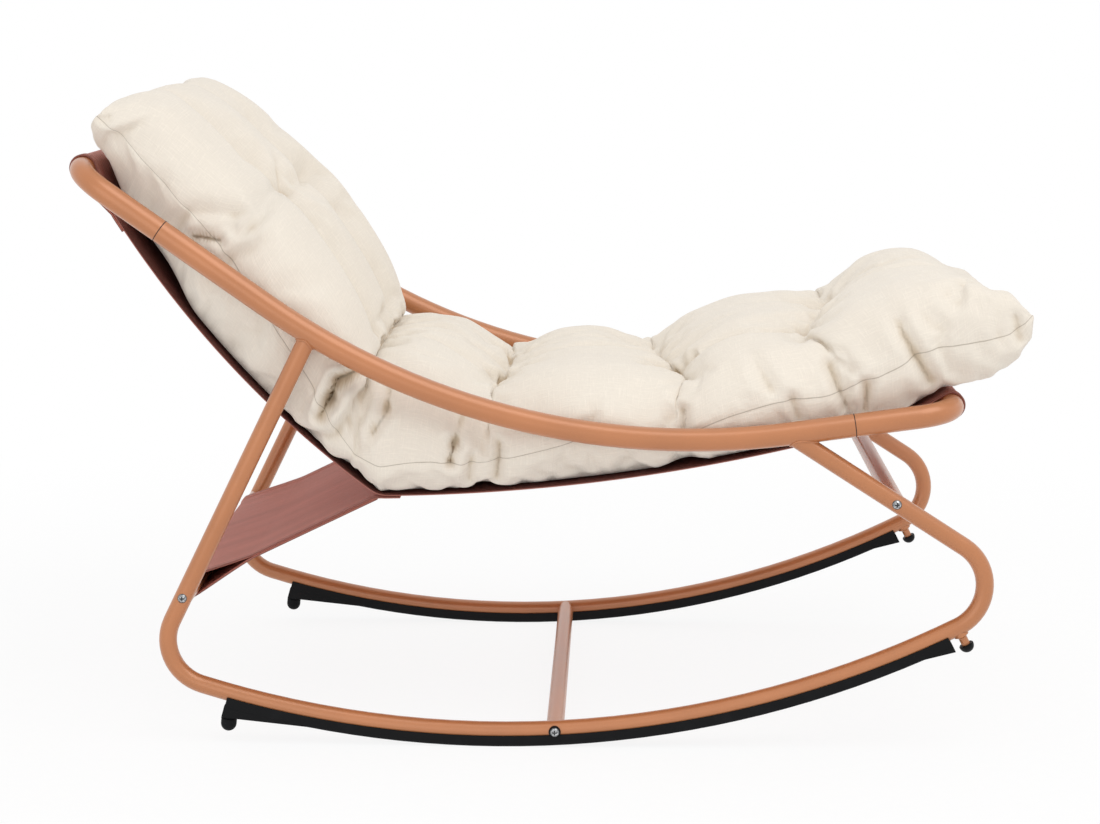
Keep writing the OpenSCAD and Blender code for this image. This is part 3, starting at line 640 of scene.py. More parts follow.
class STAGE_OT_chair(bpy.types.Operator):
    """Floor, lights and camera at the photograph's angle"""
    bl_idname = "lounge.stage"
    bl_label = "Stage"

    def execute(self, context):
        sizes = context.scene.lounge_stage
        self.camera(context, sizes)
        self.floor()
        self.lights(context, sizes)
        context.scene.view_settings.view_transform = "Standard"
        return {"FINISHED"}

    def camera(self, context, sizes):
        lens = bpy.data.cameras.new("camera")
        lens.lens = sizes.lens
        lens.sensor_width = 36.0
        made = bpy.data.objects.new("camera", lens)
        made.location = sizes.camera_place
        made.rotation_euler = (math.pi / 2 - sizes.pitch, 0.0, sizes.yaw)
        context.scene.collection.objects.link(made)
        context.scene.camera = made

    def floor(self):
        """A white floor that keeps the chair's shadow and turns into the white background further out."""
        turns = round_turns(64)
        rim = np.stack([FLOOR_RADIUS * np.cos(turns), FLOOR_RADIUS * np.sin(turns), 0 * turns], 1)
        f = Finish("floor")
        x, y, _ = f.parts(f.place())
        far = ((x * x + y * y) ** 0.5).ramp(0.9, 2.1)
        paper = f.noise(f.place(), 60.0, 3.0)
        colour = f.over(paper.ramp(0.3, 0.7), (0.9, 0.9, 0.9), (0.93, 0.93, 0.93))
        plain = f.node("ShaderNodeBsdfDiffuse", {}, {"Color": colour})
        white = f.node("ShaderNodeEmission", {}, {"Color": WHITE, "Strength": 1.0})
        share = f.seen_ray() * (0.88 + far * 0.12)
        both = f.node("ShaderNodeMixShader", {}, {0: share, 1: plain, 2: white})
        f.node("ShaderNodeOutputMaterial", {}, {"Surface": both})
        piece("floor", rim, [list(range(len(rim)))], f.material)

    def lights(self, context, sizes):
        self.lamp(context, "key", place=(1.3, -1.5, 3.3), aim=(0.0, 0.0, 0.45), size=2.4,
            power=sizes.key_strength)
        self.lamp(context, "fill", place=(-1.2, -3.0, 0.8), aim=(-0.1, 0.0, 0.45), size=2.0,
            power=sizes.fill_strength)
        world = bpy.data.worlds.new("studio")
        world.use_nodes = True
        context.scene.world = world
        sky = Graph(world.node_tree)
        light, white = [
            sky.node("ShaderNodeBackground", {}, {"Color": WHITE, "Strength": strength})
            for strength in (sizes.sky_strength, 1.0)]
        both = sky.node("ShaderNodeMixShader", {}, {0: sky.seen_ray(), 1: light, 2: white})
        sky.node("ShaderNodeOutputWorld", {}, {"Surface": both})

    def lamp(self, context, name, place, aim, size, power):
        light = bpy.data.lights.new(name, "AREA")
        light.energy = power
        light.size = size
        made = bpy.data.objects.new(name, light)
        made.location = place
        made.rotation_euler = (Vector(aim) - Vector(place)).to_track_quat("-Z", "Y").to_euler()
        context.scene.collection.objects.link(made)


# Frame


def finished(nodes, material):
    """Gives frame nodes a finish."""
    for name in nodes:
        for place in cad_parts[name].material_slots:
            place.material = material


def of_sides(*names):
    return [side + "_" + name for name in names for side in SIDES]


# The rail's axis: where its straights would meet, their bearings and the radius of its bend
RAIL_KNEE = np.array([-0.06548, 0.391])
RAIL_FOOT_A, RAIL_HEAD_A, RAIL_BEND = 7.9, 144.7, 1.002
RAIL_TURN = math.radians(90 - (RAIL_HEAD_A - RAIL_FOOT_A) / 2)
RAIL_CENTRE = RAIL_KNEE + RAIL_BEND / math.cos(RAIL_TURN) * direction((RAIL_HEAD_A + RAIL_FOOT_A) / 2)
# Where the axes of the rear and the front leg meet the rail's axis, and their bearings
LEG_TOPS = [(np.array([-0.32869, 0.58057]), 63.7), (np.array([0.32487, 0.44517]), 147.2)]
WELD_RADIUS, SEAM_RADIUS, SEAM_DEPTH = 0.0017, 0.0007, 0.0003


def weld_ring(side, top, slope, steps=72):
    """The line where a coped leg meets the round of its rail."""
    out = (top - RAIL_CENTRE) / RAIL_BEND
    leg, cross = direction(slope), direction(slope + 90)
    ring = []
    for turn in round_turns(steps):
        y = TUBE_R * math.sin(turn)
        wide = TUBE_R * math.cos(turn)
        down = (math.sqrt(RAIL_R ** 2 - y ** 2) - wide * cross.dot(out)) / leg.dot(out)
        point = top + leg * down + cross * wide
        ring.append((point[0], SIDES[side] * SIDE_Y + y, point[1]))
    return ring


class FRAME_OT_paint(bpy.types.Operator):
    """Powder coat on the tubes, and the weld beads of the legs"""
    bl_idname = "lounge.frame_paint"
    bl_label = "Frame paint and welds"

    def execute(self, context):
        coat = powder_coat(context.scene.lounge_finishes.frame_colour)
        finished(of_sides("side_rail", "rocker_tube", "front_peg"), coat)
        finished(["head_bow", "foot_bow", "rear_cross_tube", "front_cross_tube", "base_cross_tube"], coat)
        rings = [weld_ring(side, top, slope) for side in SIDES for top, slope in LEG_TOPS]
        beads = along_lines("leg_welds", rings, bead_tree(), coat, closed=True, radius=WELD_RADIUS)
        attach(beads, "frame")
        return {"FINISHED"}


class FRAME_OT_fasteners(bpy.types.Operator):
    """Plated screws, joining tubes and plugs, and dark rings of painted shade in the seams between rails and
    bows
    """
    bl_idname = "lounge.fasteners"
    bl_label = "Screws, joiners and plugs"

    def execute(self, context):
        for name in ("rear_screws", "front_screws", "base_screws"):
            finished([name], plated_screw(name, (0.46, 0.47, 0.48)))
        finished(of_sides("pad_screws"), zinc_steel("pad_screw_plating", (0.60, 0.61, 0.62), 0.34))
        # The joiners' steel is made nearly black, as painted shade where it shows in the butt gaps; the seam
        # rings use it too.
        inner = zinc_steel("joiner_steel", (0.06, 0.05, 0.05), 0.5)
        finished(of_sides("head_joiner", "foot_joiner"), inner)
        finished(["rear_cross_plugs", "front_cross_plugs", "base_cross_plugs"],
            zinc_steel("plug_steel", (0.5, 0.5, 0.5), 0.4))
        # Dark rings at the butt seams: painted shade standing in for the shadow in each gap.
        rings, turns, radius = [], round_turns(60), RAIL_R - SEAM_DEPTH
        for end, slope in (("head", RAIL_HEAD_A), ("foot", RAIL_FOOT_A)):
            for side in SIDES:
                centre = sum(box(f"{side}_{end}_joiner")) / 2
                over = direction(slope + 90)[None, :] * np.cos(turns)[:, None] * radius
                rings.append(np.stack([over[:, 0], radius * np.sin(turns), over[:, 1]], 1) + centre)
        seams = along_lines("butt_seam_shade_rings", rings, bead_tree(), inner, closed=True, radius=SEAM_RADIUS)
        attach(seams, "frame")
        return {"FINISHED"}


class FRAME_OT_pads(bpy.types.Operator):
    """Moulded pads, bumpers, caps and washers"""
    bl_idname = "lounge.pads"
    bl_label = "Pads, bumpers and caps"

    def execute(self, context):
        black = context.scene.lounge_finishes.black_colour
        finished(of_sides("runner_pad"), moulded_black("moulded_pad", black, 0.46, 900.0))
        finished(of_sides("rear_bumper"), moulded_black("rubber", shade(black, 1.25), 0.62, 600.0))
        smooth = moulded_black("smooth_plastic", black, 0.34, 1400.0)
        finished(of_sides("peg_cap") + ["base_screw_washers"], smooth)
        return {"FINISHED"}


# Sling and tie panel


# Distances between points round a bar and along a run
LOOP_GAP, RUN_GAP = 0.0022, 0.006
SLEEVE_GAP, SLEEVE_CLOTH = 0.0003, 0.002


def loop(centre, radius, pull, half):
    """A clockwise loop round a bar, drawn towards the pull angle and closed there."""
    start = 90 - half
    turn = 360 - 2 * start
    steps = int(radius * math.radians(turn) / LOOP_GAP) + 1
    return np.array([centre + radius * direction(pull - start - turn * i / steps) for i in range(steps + 1)])


def spaced(line, gap):
    """A line with points at even distances, its ends kept."""
    length = lengths_along(line)[-1]
    return resampled(line, np.linspace(0, length, max(2, int(round(length / gap)) + 1)))


# Point of a run, counted from the bar, towards which the sleeve is drawn
PULL_STEP = 12


def sag_run(p, q, sag, steps=61):
    """A run of cloth between two points, sagging to the right of the way from p to q."""
    t = np.linspace(0, 1, steps)[:, None]
    return p + (q - p) * t + 4 * sag * t * (1 - t) * direction(bearing(p, q) - 90)


def joined(*lines):
    """Lines one after the other, without doubled points."""
    out = [np.asarray(lines[0])]
    for line in lines[1:]:
        line = np.asarray(line)
        out.append(line[1:] if np.linalg.norm(line[0] - out[-1][-1]) < 0.0006 else line)
    return np.concatenate(out)


def softened(line, times):
    """A line with its corners rounded."""
    line = np.array(line)
    for _ in range(times):
        line[1:-1] = line[1:-1] * 0.5 + (line[:-2] + line[2:]) * 0.25
    return line


def strung(parts, layer, line_rounds, rise_rounds):
    """One softened line through parts, each a line with its rise in layers, and the rise at each point."""
    line = joined(*[part for part, _ in parts])
    owner = np.array([
        min(parts, key=lambda part: np.linalg.norm(part[0] - p, axis=1).min())[1] for p in line])
    return softened(line, line_rounds), softened(owner[:, None], rise_rounds)[:, 0] * layer


class SlingPath:
    """The lines of the sling, in the plane of a side frame."""

    def __init__(self, sizes):
        half = math.degrees(sizes.sleeve_angle)
        sleeve = RAIL_R + SLEEVE_GAP + SLEEVE_CLOTH
        self.fold = np.array([sizes.fold_x, sizes.fold_z])
        self.head_pull = bearing(HEAD_BAR, sag_run(HEAD_BAR, self.fold, sizes.back_sag)[PULL_STEP])
        self.foot_pull = bearing(FOOT_BAR, sag_run(self.fold, FOOT_BAR, sizes.seat_sag)[-1 - PULL_STEP])
        reach = sleeve / math.sin(math.radians(half))
        self.head_merge = HEAD_BAR + reach * direction(self.head_pull)
        self.foot_merge = FOOT_BAR + reach * direction(self.foot_pull)
        self.back = sag_run(self.head_merge, self.fold, sizes.back_sag)
        self.seat = sag_run(self.fold, self.foot_merge, sizes.seat_sag)
        self.run = softened(spaced(joined(self.back, self.seat), RUN_GAP), 3)
        self.radius = RAIL_R + sizes.cloth
        self.half = half

    def path(self, sizes):
        """The whole cloth's line, its left side outwards, and how much its hems rise at each point."""
        under = self.run - normals_of(self.run) * sizes.layer
        s = lengths_along(self.run)
        head_tail = under[s <= sizes.tail][::-1]
        foot_tail = under[s >= s[-1] - sizes.tail][::-1]
        parts = [
            (head_tail, 2.0), (loop(HEAD_BAR, self.radius, self.head_pull, self.half), 1.0), (self.run, 0.0),
            (loop(FOOT_BAR, self.radius, self.foot_pull, self.half), 1.0), (foot_tail, 2.0)]
        parts = [(spaced(line, LOOP_GAP if len(line) < 60 else RUN_GAP), rise) for line, rise in parts]
        return strung(parts, sizes.layer, 1, 6)


def across(half, hem, layer, wide=14):
    """Columns of a strip with its hems folded under.

    Gives for each the place across, the drop, the share of the hem's rise and the way over the cloth.
    """
    r, step = layer / 2, hem * 0.25
    flat = np.linspace(0, half - hem - step, wide)
    lift = np.linspace(half - hem - step, half - hem, 4)[1:]
    edge = np.linspace(half - hem, half - r, 5)[1:]
    turn = np.radians(np.linspace(90, -90, 7))[1:-1]
    back = np.linspace(half - r, half - hem, 5)
    y = np.concatenate([flat, lift, edge, half - r + r * np.cos(turn), back])
    drop = np.concatenate([flat * 0, lift * 0, edge * 0, r - r * np.sin(turn), back * 0 + layer])
    zone = np.where(np.arange(len(y)) < len(flat) + len(lift), ease((y - flat[-1]) / step), 1.0)
    v = lengths_along(np.stack([y, drop], 1))
    mirrored = ((-1, y), (1, drop), (1, zone), (-1, v))
    return [np.concatenate([sign * row[:0:-1], row]) for sign, row in mirrored]


def strip(name, path, rise, dark, material, sizes):
    """A cloth strip with folded hems and a real thickness, and the size of its flat cut."""
    y, drop, zone, v = across(SLING_HALF, sizes.hem, sizes.layer)
    offset = zone[None, :] * rise[:, None] - drop[None, :]
    xz = path[:, None, :] + normals_of(path)[:, None, :] * offset[:, :, None]
    rows, columns = shape = offset.shape
    mid = np.stack([xz[..., 0], np.broadcast_to(y, shape), xz[..., 1]], -1)
    out = np.cross(np.gradient(mid, axis=0), np.gradient(mid, axis=1))
    out /= np.linalg.norm(out, axis=2)[..., None]
    skins = [(mid + out * sizes.cloth / 2).reshape(-1, 3), (mid - out * sizes.cloth / 2).reshape(-1, 3)]
    n = rows * columns
    rim = rim_of(np.arange(n).reshape(shape))
    following = np.roll(rim, -1)
    faces = np.concatenate([grid_faces(rows, columns, True), grid_faces(rows, columns) + n,
        np.stack([rim, following, following + n, rim + n], 1)])
    s = lengths_along(path)
    uv = np.stack([np.broadcast_to(s[:, None], shape), np.broadcast_to(v, shape)], -1).reshape(-1, 2)
    # The inner attribute carries the painted shade onto the face under the cushion.
    inner = (dark[:, None] * (drop[None, :] < sizes.layer / 2)).ravel()
    made = piece(name, np.concatenate(skins), faces, material, np.concatenate([uv, uv]),
        {"inner": np.concatenate([inner, inner * 0])})
    return made, (float(v[-1] - v[0]), float(s[-1]))


# How close a point of the cloth lies to the run between the bars, for its face to be the inner one, which
# gets painted shade
ON_RUN = 0.0008


def cloth_finish(context):
    found = bpy.data.materials.get("woven_mesh")
    return found or woven_mesh(context.scene.lounge_finishes.sling_colour)


class CLOTH_OT_sling(bpy.types.Operator):
    """Fabric sling with folded side hems and a sleeve round each bow"""
    bl_idname = "lounge.sling"
    bl_label = "Sling"

    def execute(self, context):
        sizes = context.scene.lounge_sling
        lines = SlingPath(sizes)
        path, rise = lines.path(sizes)
        near = np.array([np.linalg.norm(lines.run - p, axis=1).min() for p in path])
        # Rows on the run get painted shade on their inner face, fading out towards the bars.
        dark = softened(np.where(near < ON_RUN, 1.0, 0.0)[:, None], 10)[:, 0]
        made, flat = strip("sling_cloth", path, rise, dark, cloth_finish(context), sizes)
        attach(made, "frame")
        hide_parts("sling")
        return {"FINISHED"}


def tie_path(sizes):
    """The tie panel's line round the rear cross tube, its rise, where its loop closes, and its lap."""
    lines = SlingPath(sizes)
    pull = bearing(REAR_CROSS, lines.fold)
    half = math.degrees(sizes.tie_angle)
    radius = TUBE_R + sizes.cloth
    merge = REAR_CROSS + radius / math.sin(math.radians(half)) * direction(pull)
    up = direction(pull + 90) * sizes.layer / 2
    seat = spaced(lines.seat, RUN_GAP)
    seat = seat - normals_of(seat) * sizes.layer * 1.2
    lap = seat[lengths_along(seat) <= sizes.tie_lap]
    lower = spaced([lap[0] - direction(pull) * 0.004 - up * 2.2, merge - up], RUN_GAP)
    upper = spaced([merge + up, lap[0] - direction(pull) * 0.006], RUN_GAP)
    bend = loop(REAR_CROSS, radius, pull, half)
    parts = [(lower, 1.0), (bend, 1.0), (upper, 1.0), (spaced(lap, 0.004), -1.0)]
    return *strung(parts, sizes.layer, 2, 3), merge, lap


class CLOTH_OT_tie(bpy.types.Operator):
    """Tie panel, sewn under the seat and looped round the rear cross tube"""
    bl_idname = "lounge.tie_panel"
    bl_label = "Tie panel"

    def execute(self, context):
        sizes = context.scene.lounge_sling
        path, rise, _, _ = tie_path(sizes)
        made, flat = strip("tie_panel_cloth", path, rise, path[:, 0] * 0, cloth_finish(context), sizes)
        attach(made, "frame")
        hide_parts("tie_panel")
        return {"FINISHED"}


class CLOTH_OT_sewing(bpy.types.Operator):
    """Stitches along the hems, the sleeves and the tie panel"""
    bl_idname = "lounge.sling_sewing"
    bl_label = "Sling stitches"

    def execute(self, context):
        sizes = context.scene.lounge_sling
        lines = SlingPath(sizes)
        skin = sizes.cloth / 2 + 0.0002
        below = lines.run - normals_of(lines.run) * (sizes.layer * 2 + skin)
        s = lengths_along(lines.run)
        body = below[(s > sizes.tail) & (s < s[-1] - sizes.tail)]
        inset = SLING_HALF - sizes.hem * 0.78
        rows = [[(x, side * inset, z) for x, z in body] for side in SIDES.values()]
        tail = lines.run - normals_of(lines.run) * (sizes.layer + skin)
        places = (0.006, sizes.tail - 0.004, s[-1] - 0.006, s[-1] - sizes.tail + 0.004)
        seams = [resampled(tail, np.array([place]))[0] for place in places]
        _, _, merge, lap = tie_path(sizes)
        pull = bearing(REAR_CROSS, lines.fold)
        up = direction(pull + 90) * (sizes.layer / 2 + skin)
        seams += [merge + direction(pull) * 0.004 + up * face for face in (1, -1)]
        under = lap - normals_of(lap) * skin
        seams += [under[2], under[-2]]
        ends = SLING_HALF - sizes.hem - 0.008
        rows += [[(x, y, z) for y in np.linspace(-ends, ends, 60)] for x, z in seams]
        colour = shade(context.scene.lounge_finishes.sling_colour, 0.6)
        made = along_lines("sling_stitches", rows, stitch_tree(), thread("sling_thread", colour),
            pitch=0.0045, length=0.0034, thread=0.00045)
        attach(made, "frame")
        return {"FINISHED"}


# Cushion

# Crest of the cushion over its lobes: x, z points in millimetres, one row from each full crease to the next
CREST = [
    [(-619, 875), (-615, 891), (-600, 905), (-562, 915), (-524, 903), (-489, 880), (-429, 822), (-366, 766),
        (-321, 705), (-284, 650), (-262, 602), (-252, 560), (-257, 530)],
    [(-257, 530), (-240, 542), (-218, 548), (-190, 549), (-158, 541), (-128, 521), (-80, 482)],
    [(-80, 482), (-41, 504), (19, 519), (60, 519), (92, 514), (151, 494)],
    [(151, 494), (173, 519), (204, 541), (270, 566), (320, 573), (358, 575), (398, 569)],
    [(398, 569), (423, 600), (466, 632), (498, 643), (532, 647), (562, 641), (588, 628), (612, 611),
        (634, 604), (650, 598), (657, 593)],
]
# Points of the crest, in metres, each with the place along the underside that it stands over and the share of
# the height that lies below the side seam there
ANCHORS = [
    (-0.619, 0.875, 0.0, 0.5), (-0.363, 0.768, 0.334, 0.45), (-0.257, 0.530, 0.641, 0.22),
    (-0.080, 0.482, 0.825, 0.35), (0.151, 0.494, 1.120, 0.45), (0.398, 0.572, 1.342, 0.5),
    (0.657, 0.593, 1.6553, 0.5)]
# The anchors that are full creases, by their place along the underside
CREASE_PLACES = (0.641, 0.825, 1.120, 1.342)
# Rows of tufts: place along the underside and depth; and how far from the middle each tuft and valley lies
TUFT_ROWS = [(0.315, 0.050), (0.825, 0.006), (1.120, 0.013), (1.342, 0.024)]
TUFT_Y = 0.1
VALLEY_Y = TUFT_Y - 0.004
# Half lengths of a tuft as it is held, worked and sewn
TUFT_HELD, TUFT_SEWN = 0.020, 0.026
# How far each full crease slides towards the foot end, in millimetres, at these shares of the half width
SLIDE_AT = [-1, -0.68, -0.34, 0, 0.34, 1]
SLIDES = [
    [0, 0, 0, 0, 0, 0],
    [-6, -6, 0, 4, 7, 0],
    [26, 36, 27, 8, -7, -6],
    [-18, -46, -42, -10, 10, 6],
]
# How much lower the back lies towards the sitter's right, by place across
LEAN_AT = [-0.29, -0.19, 0.0, 0.19, 0.29]
LEAN = [0.017, 0.017, 0.006, 0.0, 0.0]
# Slack folds that run out of the near tuft of the back: from, to, depth and width.
# Each end is given by the way along from the tuft and the place across.
TUFT_FOLDS = [
    ((0.0, -0.095), (0.003, -0.050), 0.013, 0.009),
    ((0.003, -0.050), (-0.040, -0.018), 0.011, 0.010)]
# The underside beyond the sling's run, from the axis of each bar
HEAD_WRAP = np.array([[30, 76], [12, 56], [13, 34], [16, 17], [24, -7], [31, -30]]) / 1000
FOOT_WRAP = np.array([[-12, 20], [3, 22], [53, 36], [88, 66], [103, 94], [106, 116]]) / 1000
# How far the foot end and the head end reach into the cushion, as squarer sections than the rest
FOOT_REACH, HEAD_REACH, HEAD_SQUARE = 0.16, 0.14, 0.55
# The foot end rises towards the sitter's right, and its corner there stands up
FOOT_TILT, EAR_HEIGHT = 0.016, 0.036
# Half width and height for which the columns of points are spaced evenly over the section
DOME_HALF, DOME_HEIGHT = 0.295, 0.11
# Where the side folds begin to press in, and how far they take to do so
SIDE_FROM, SIDE_OVER = 0.205, 0.06
# Share of each side fold's depth pressed in before the filling and after it
FOLD_BEFORE, FOLD_AFTER = 0.5, 0.6
# Most that the cushion may reach past its side seam, towards the rails
SIDE_ROOM = 0.0085
# Folds of the sides: from x, z, to x, z, depth and width in millimetres, and how dark the painted shade at
# the fold's bottom is
SIDE_FOLDS = [
    (-262, 526, -298, 510, 26, 7, 0.35), (-298, 510, -308, 486, 36, 8, 0.95),
    (-308, 486, -320, 462, 28, 7, 0.8), (-226, 494, -228, 468, 12, 6, 0.25),
    (-228, 468, -247, 437, 12, 6, 0.2), (-122, 469, -136, 424, 14, 6, 0.1),
    (-136, 424, -141, 398, 18, 6, 0.7), (-71, 423, -76, 376, 9, 6, 0.1), (-114, 406, -117, 373, 8, 5, 0.0),
    (270, 555, 301, 501, 10, 8, 0.0), (381, 529, 405, 478, 10, 7, 0.2), (434, 510, 431, 474, 9, 6, 0.2),
    (475, 587, 519, 513, 12, 8, 0.2), (328, 490, 340, 462, 7, 6, 0.0), (631, 604, 637, 576, 7, 6, 0.0),
    (-492, 709, -454, 704, 22, 6, 0.5), (-498, 694, -474, 677, 18, 6, 0.4),
    (-446, 697, -412, 716, 8, 6, 0.0), (-601, 872, -550, 893, 12, 9, 0.0), (184, 470, 183, 442, 9, 6, 0.25),
    (-370, 640, -300, 640, 5, 10, 0.0), (60, 470, 50, 440, 5, 7, 0.0)]


def side_folds():
    """Each fold of the sides as its start, end, depth and width in metres, and how dark the painted shade at
    its bottom is.
    """
    for *lengths, dark in SIDE_FOLDS:
        x0, z0, x1, z1, depth, width = [length / 1000 for length in lengths]
        yield (x0, z0), (x1, z1), depth, width, dark


def spline(points, gap=0.003):
    """A smooth line through points, from the first to the last."""
    p = np.concatenate([[2 * points[0] - points[1]], points, [2 * points[-1] - points[-2]]])
    out = []
    for a, b, c, d in zip(p, p[1:], p[2:], p[3:]):
        steps = max(3, int(np.linalg.norm(c - b) / gap))
        t = np.linspace(0, 1, steps, endpoint=False)[:, None]
        square, cube = (2 * a - 5 * b + 4 * c - d) * t ** 2, (3 * b - a - 3 * c + d) * t ** 3
        out.append(0.5 * (2 * b + (c - a) * t + square + cube))
    return np.concatenate(out + [p[-2][None, :]])


def bell(x, width):
    return np.exp(-(x / width) ** 2)


def cusp(x, width):
    """A sharp peak: 1 at 0, falling off on both sides."""
    return np.exp(-np.abs(x) / width)


def flattened(a, power, root):
    """Height of a flat section with round edges: 1 in the middle, 0 where a is 1."""
    return (1 - a ** power) ** (1 / root)


def blocks(count, size=4000):
    """Slices of a long row of points, which keep tables of distances small."""
    return [slice(first, first + size) for first in range(0, count, size)]


class CushionForm:
    """The cushion as a grid of rows along it and columns across it, for its top and its underside."""

    def __init__(self, sizes, sling):
        self.sizes = sizes
        lines = SlingPath(sling)
        run = joined(lines.back, lines.seat)
        lifted = run + normals_of(run) * sizes.clearance
        self.under = joined(HEAD_BAR + HEAD_WRAP, lifted, FOOT_BAR + FOOT_WRAP)
        self.crest = joined(*[spline(np.array(row) / 1000) for row in CREST])
        s = lengths_along(self.crest)
        anchors = [s[np.argmin(np.linalg.norm(self.crest - (x, z), axis=1))] for x, z, _, _ in ANCHORS]
        end = lengths_along(self.under)[-1]
        under_at = [min(place, end) for _, _, place, _ in ANCHORS]
        self.creases = np.array([a for a, row in zip(anchors, ANCHORS) if row[2] in CREASE_PLACES])
        self.rows_at = self.spacing(s[-1])
        self.place = np.interp(self.rows_at, anchors, under_at)
        self.seam = np.interp(self.rows_at, anchors, [row[3] for row in ANCHORS])
        away = np.abs(self.rows_at[:, None] - np.concatenate([self.creases, [0, s[-1]]])[None, :]).min(1)
        flat = resampled(self.crest, self.rows_at)
        drop = sizes.deflated * (0.25 + 0.75 * ease(away / 0.045))
        self.top = flat - normals_of(softened(flat, 8)) * drop[:, None]
        self.low = resampled(self.under, self.place)
        self.tufts = [(np.interp(place, under_at, anchors), depth) for place, depth in TUFT_ROWS]
        self.length = s[-1]

    def spacing(self, length):
        """Rows closer together at the creases and at the ends."""
        fine = np.linspace(0, length, 4000)
        near = np.abs(fine[:, None] - np.concatenate([self.creases, [0, length]])[None, :]).min(1)
        gap = self.sizes.point_gap * (0.5 + 0.5 * ease(near / 0.03))
        count = np.concatenate([[0], np.cumsum(np.diff(fine) / gap[1:])])
        return np.interp(np.linspace(0, count[-1], int(count[-1]) + 1), count, fine)

    def shares(self):
        """Columns: place across as a share of the half width, evenly spaced over the section."""
        a = np.sin(np.linspace(0, math.pi / 2, 400))
        over = lengths_along(np.stack([a * DOME_HALF, self.dome(a) * DOME_HEIGHT], 1))
        half = np.interp(np.linspace(0, over[-1], self.sizes.columns // 2), over, a)
        half[-1] = 1.0
        return np.concatenate([-half[:0:-1], half])

    def dome(self, a):
        return flattened(np.clip(a, 0, 1), 5, 2.3)

    def row_at(self, place):
        """Number of the row nearest to a place along the crest."""
        return int(np.argmin(np.abs(self.rows_at - place)))

    def foot_share(self):
        """1 at the foot end and 0 beyond its reach, for each row."""
        return ease(1 - (self.length - self.rows_at[:, None]) / FOOT_REACH)

    def grids(self):
        """Top and underside grids of points."""
        u = self.shares()[None, :]
        a, s, seam = np.abs(u), self.rows_at[:, None], self.seam[:, None]
        y = u * self.half_widths()[:, None]
        foot = self.foot_share()
        share = mix(np.minimum(self.dome(a) / self.dome(np.array(0.64)), 1.0), flattened(a, 26, 2.6),
            np.maximum(foot, HEAD_SQUARE * ease(1 - s / HEAD_REACH)))
        rise = seam + (1 - seam) * share
        base = mix(1 - flattened(np.clip((a - 0.06) / 0.94, 0, 1), 13, 2.5), 1 - flattened(a, 60, 2.6), foot)
        lifted = ease(self.place / 0.08) * ease((0.33 - self.place) / 0.10)
        notch = bell(s - self.creases[None, :], 0.022).max(1)
        low = seam * mix(base, 1 - flattened(a, 5, 1.6), np.maximum(lifted, 0.55 * notch)[:, None])
        rise[:, [0, -1]] = low[:, [0, -1]] = seam
        tall = (self.top - self.low)[:, None, :]
        under, top = [self.low[:, None, :] + tall * share[:, :, None] for share in (low, rise)]
        along = np.gradient(self.low, axis=0)
        along /= np.linalg.norm(along, axis=1)[:, None]
        slide = sum(
            bell(s - place, 0.07) * np.interp(u, SLIDE_AT, np.array(row) / 1000)
            for place, row in zip(self.creases, SLIDES))
        top += along[:, None, :] * (slide * (1 - a ** 10))[:, :, None]
        tilt = FOOT_TILT * foot * np.clip(-u, 0, 1)
        left = self.length - s
        ear = ease(left / 0.036) * ease((0.175 - left) / 0.09)
        ear = ear * ease((-u - 0.45) / 0.45) * flattened(a, 30, 2)
        top[..., 1] += tilt + EAR_HEIGHT * ear
        under[..., 1] += tilt * a ** 40
        height = np.linalg.norm(self.top - self.low, axis=1)[:, None]
        down = (self.low - self.top) / height
        dip = self.dips(s, y) * np.clip(height / 0.09, 0, 1) * (1 - a ** 8)
        top = top + down[:, None, :] * dip[:, :, None]
        return [np.stack([g[..., 0], y, g[..., 1]], -1) for g in (top, under)]

    def half_widths(self):
        """From the middle to the side seam at each row, less at the creases and the ends."""
        s = self.rows_at
        pinch = bell(s[:, None] - self.creases[None, :], 0.030).sum(1) * 0.007
        near = np.minimum(s, self.length - s)
        corner = 0.014 * (1 - np.sqrt(1 - (1 - np.clip(near / 0.03, 0, 1)) ** 2))
        return self.sizes.half_width - pinch - corner

    def dips(self, s, y):
        """How deep the stitching draws the top down: valleys between the columns, tufts and gathers."""
        tuft, last = self.tufts[0][0], self.creases[0]
        strength = np.where(s < tuft, 0.015 + 0.023 * ease(s / tuft), 0.038) * ease((last - s) / 0.05)
        strength = np.maximum(strength, 0.001 * ease((s - last) / 0.05))
        out = 0 * s * y
        for side in (-1, 1):
            across = y - side * VALLEY_Y
            out = out + strength * (0.6 * bell(across, 0.026) + 0.4 * cusp(across, 0.012))
            for place, depth in self.tufts:
                out = out + depth * 0.55 * bell(across, 0.030) * bell(s - place, 0.026)
                out = out + depth * 0.45 * bell(across, 0.016) * bell(s - place, 0.013)
        out = out + bell(s - tuft, 0.030) * (0.012 * bell(y + 0.245, 0.05) + 0.004 * bell(y - 0.245, 0.05))
        out = out + 0.002 * bell(s - tuft, 0.030)
        for start, end, depth, width in TUFT_FOLDS:
            away = self.off_line(np.stack([s - tuft + 0 * y, y], -1), start, end)[0]
            out = out + depth * cusp(away, width)
        out = out + ease(s / 0.25) * ease((last - s) / 0.07) * np.interp(y, LEAN_AT, LEAN)
        for place in self.creases[1:]:
            out = out - 0.013 * bell(s - place, 0.028) * ease((np.abs(y) - 0.17) / 0.09)
        waves = np.sin(y * 46 + s * 19) * np.sin(s * 38 - y * 11 + 1.3) + 0.6 * np.sin(y * 83 - s * 31 + 0.4)
        return out + 0.0009 * waves

    def off_line(self, flat, start, end):
        """Distance of points from a segment, and how far along it they lie."""
        p, q = np.array(start), np.array(end)
        t = np.clip(((flat - p) @ (q - p)) / ((q - p) @ (q - p)), 0, 1)
        return np.linalg.norm(flat - (p + t[..., None] * (q - p)), axis=-1), t

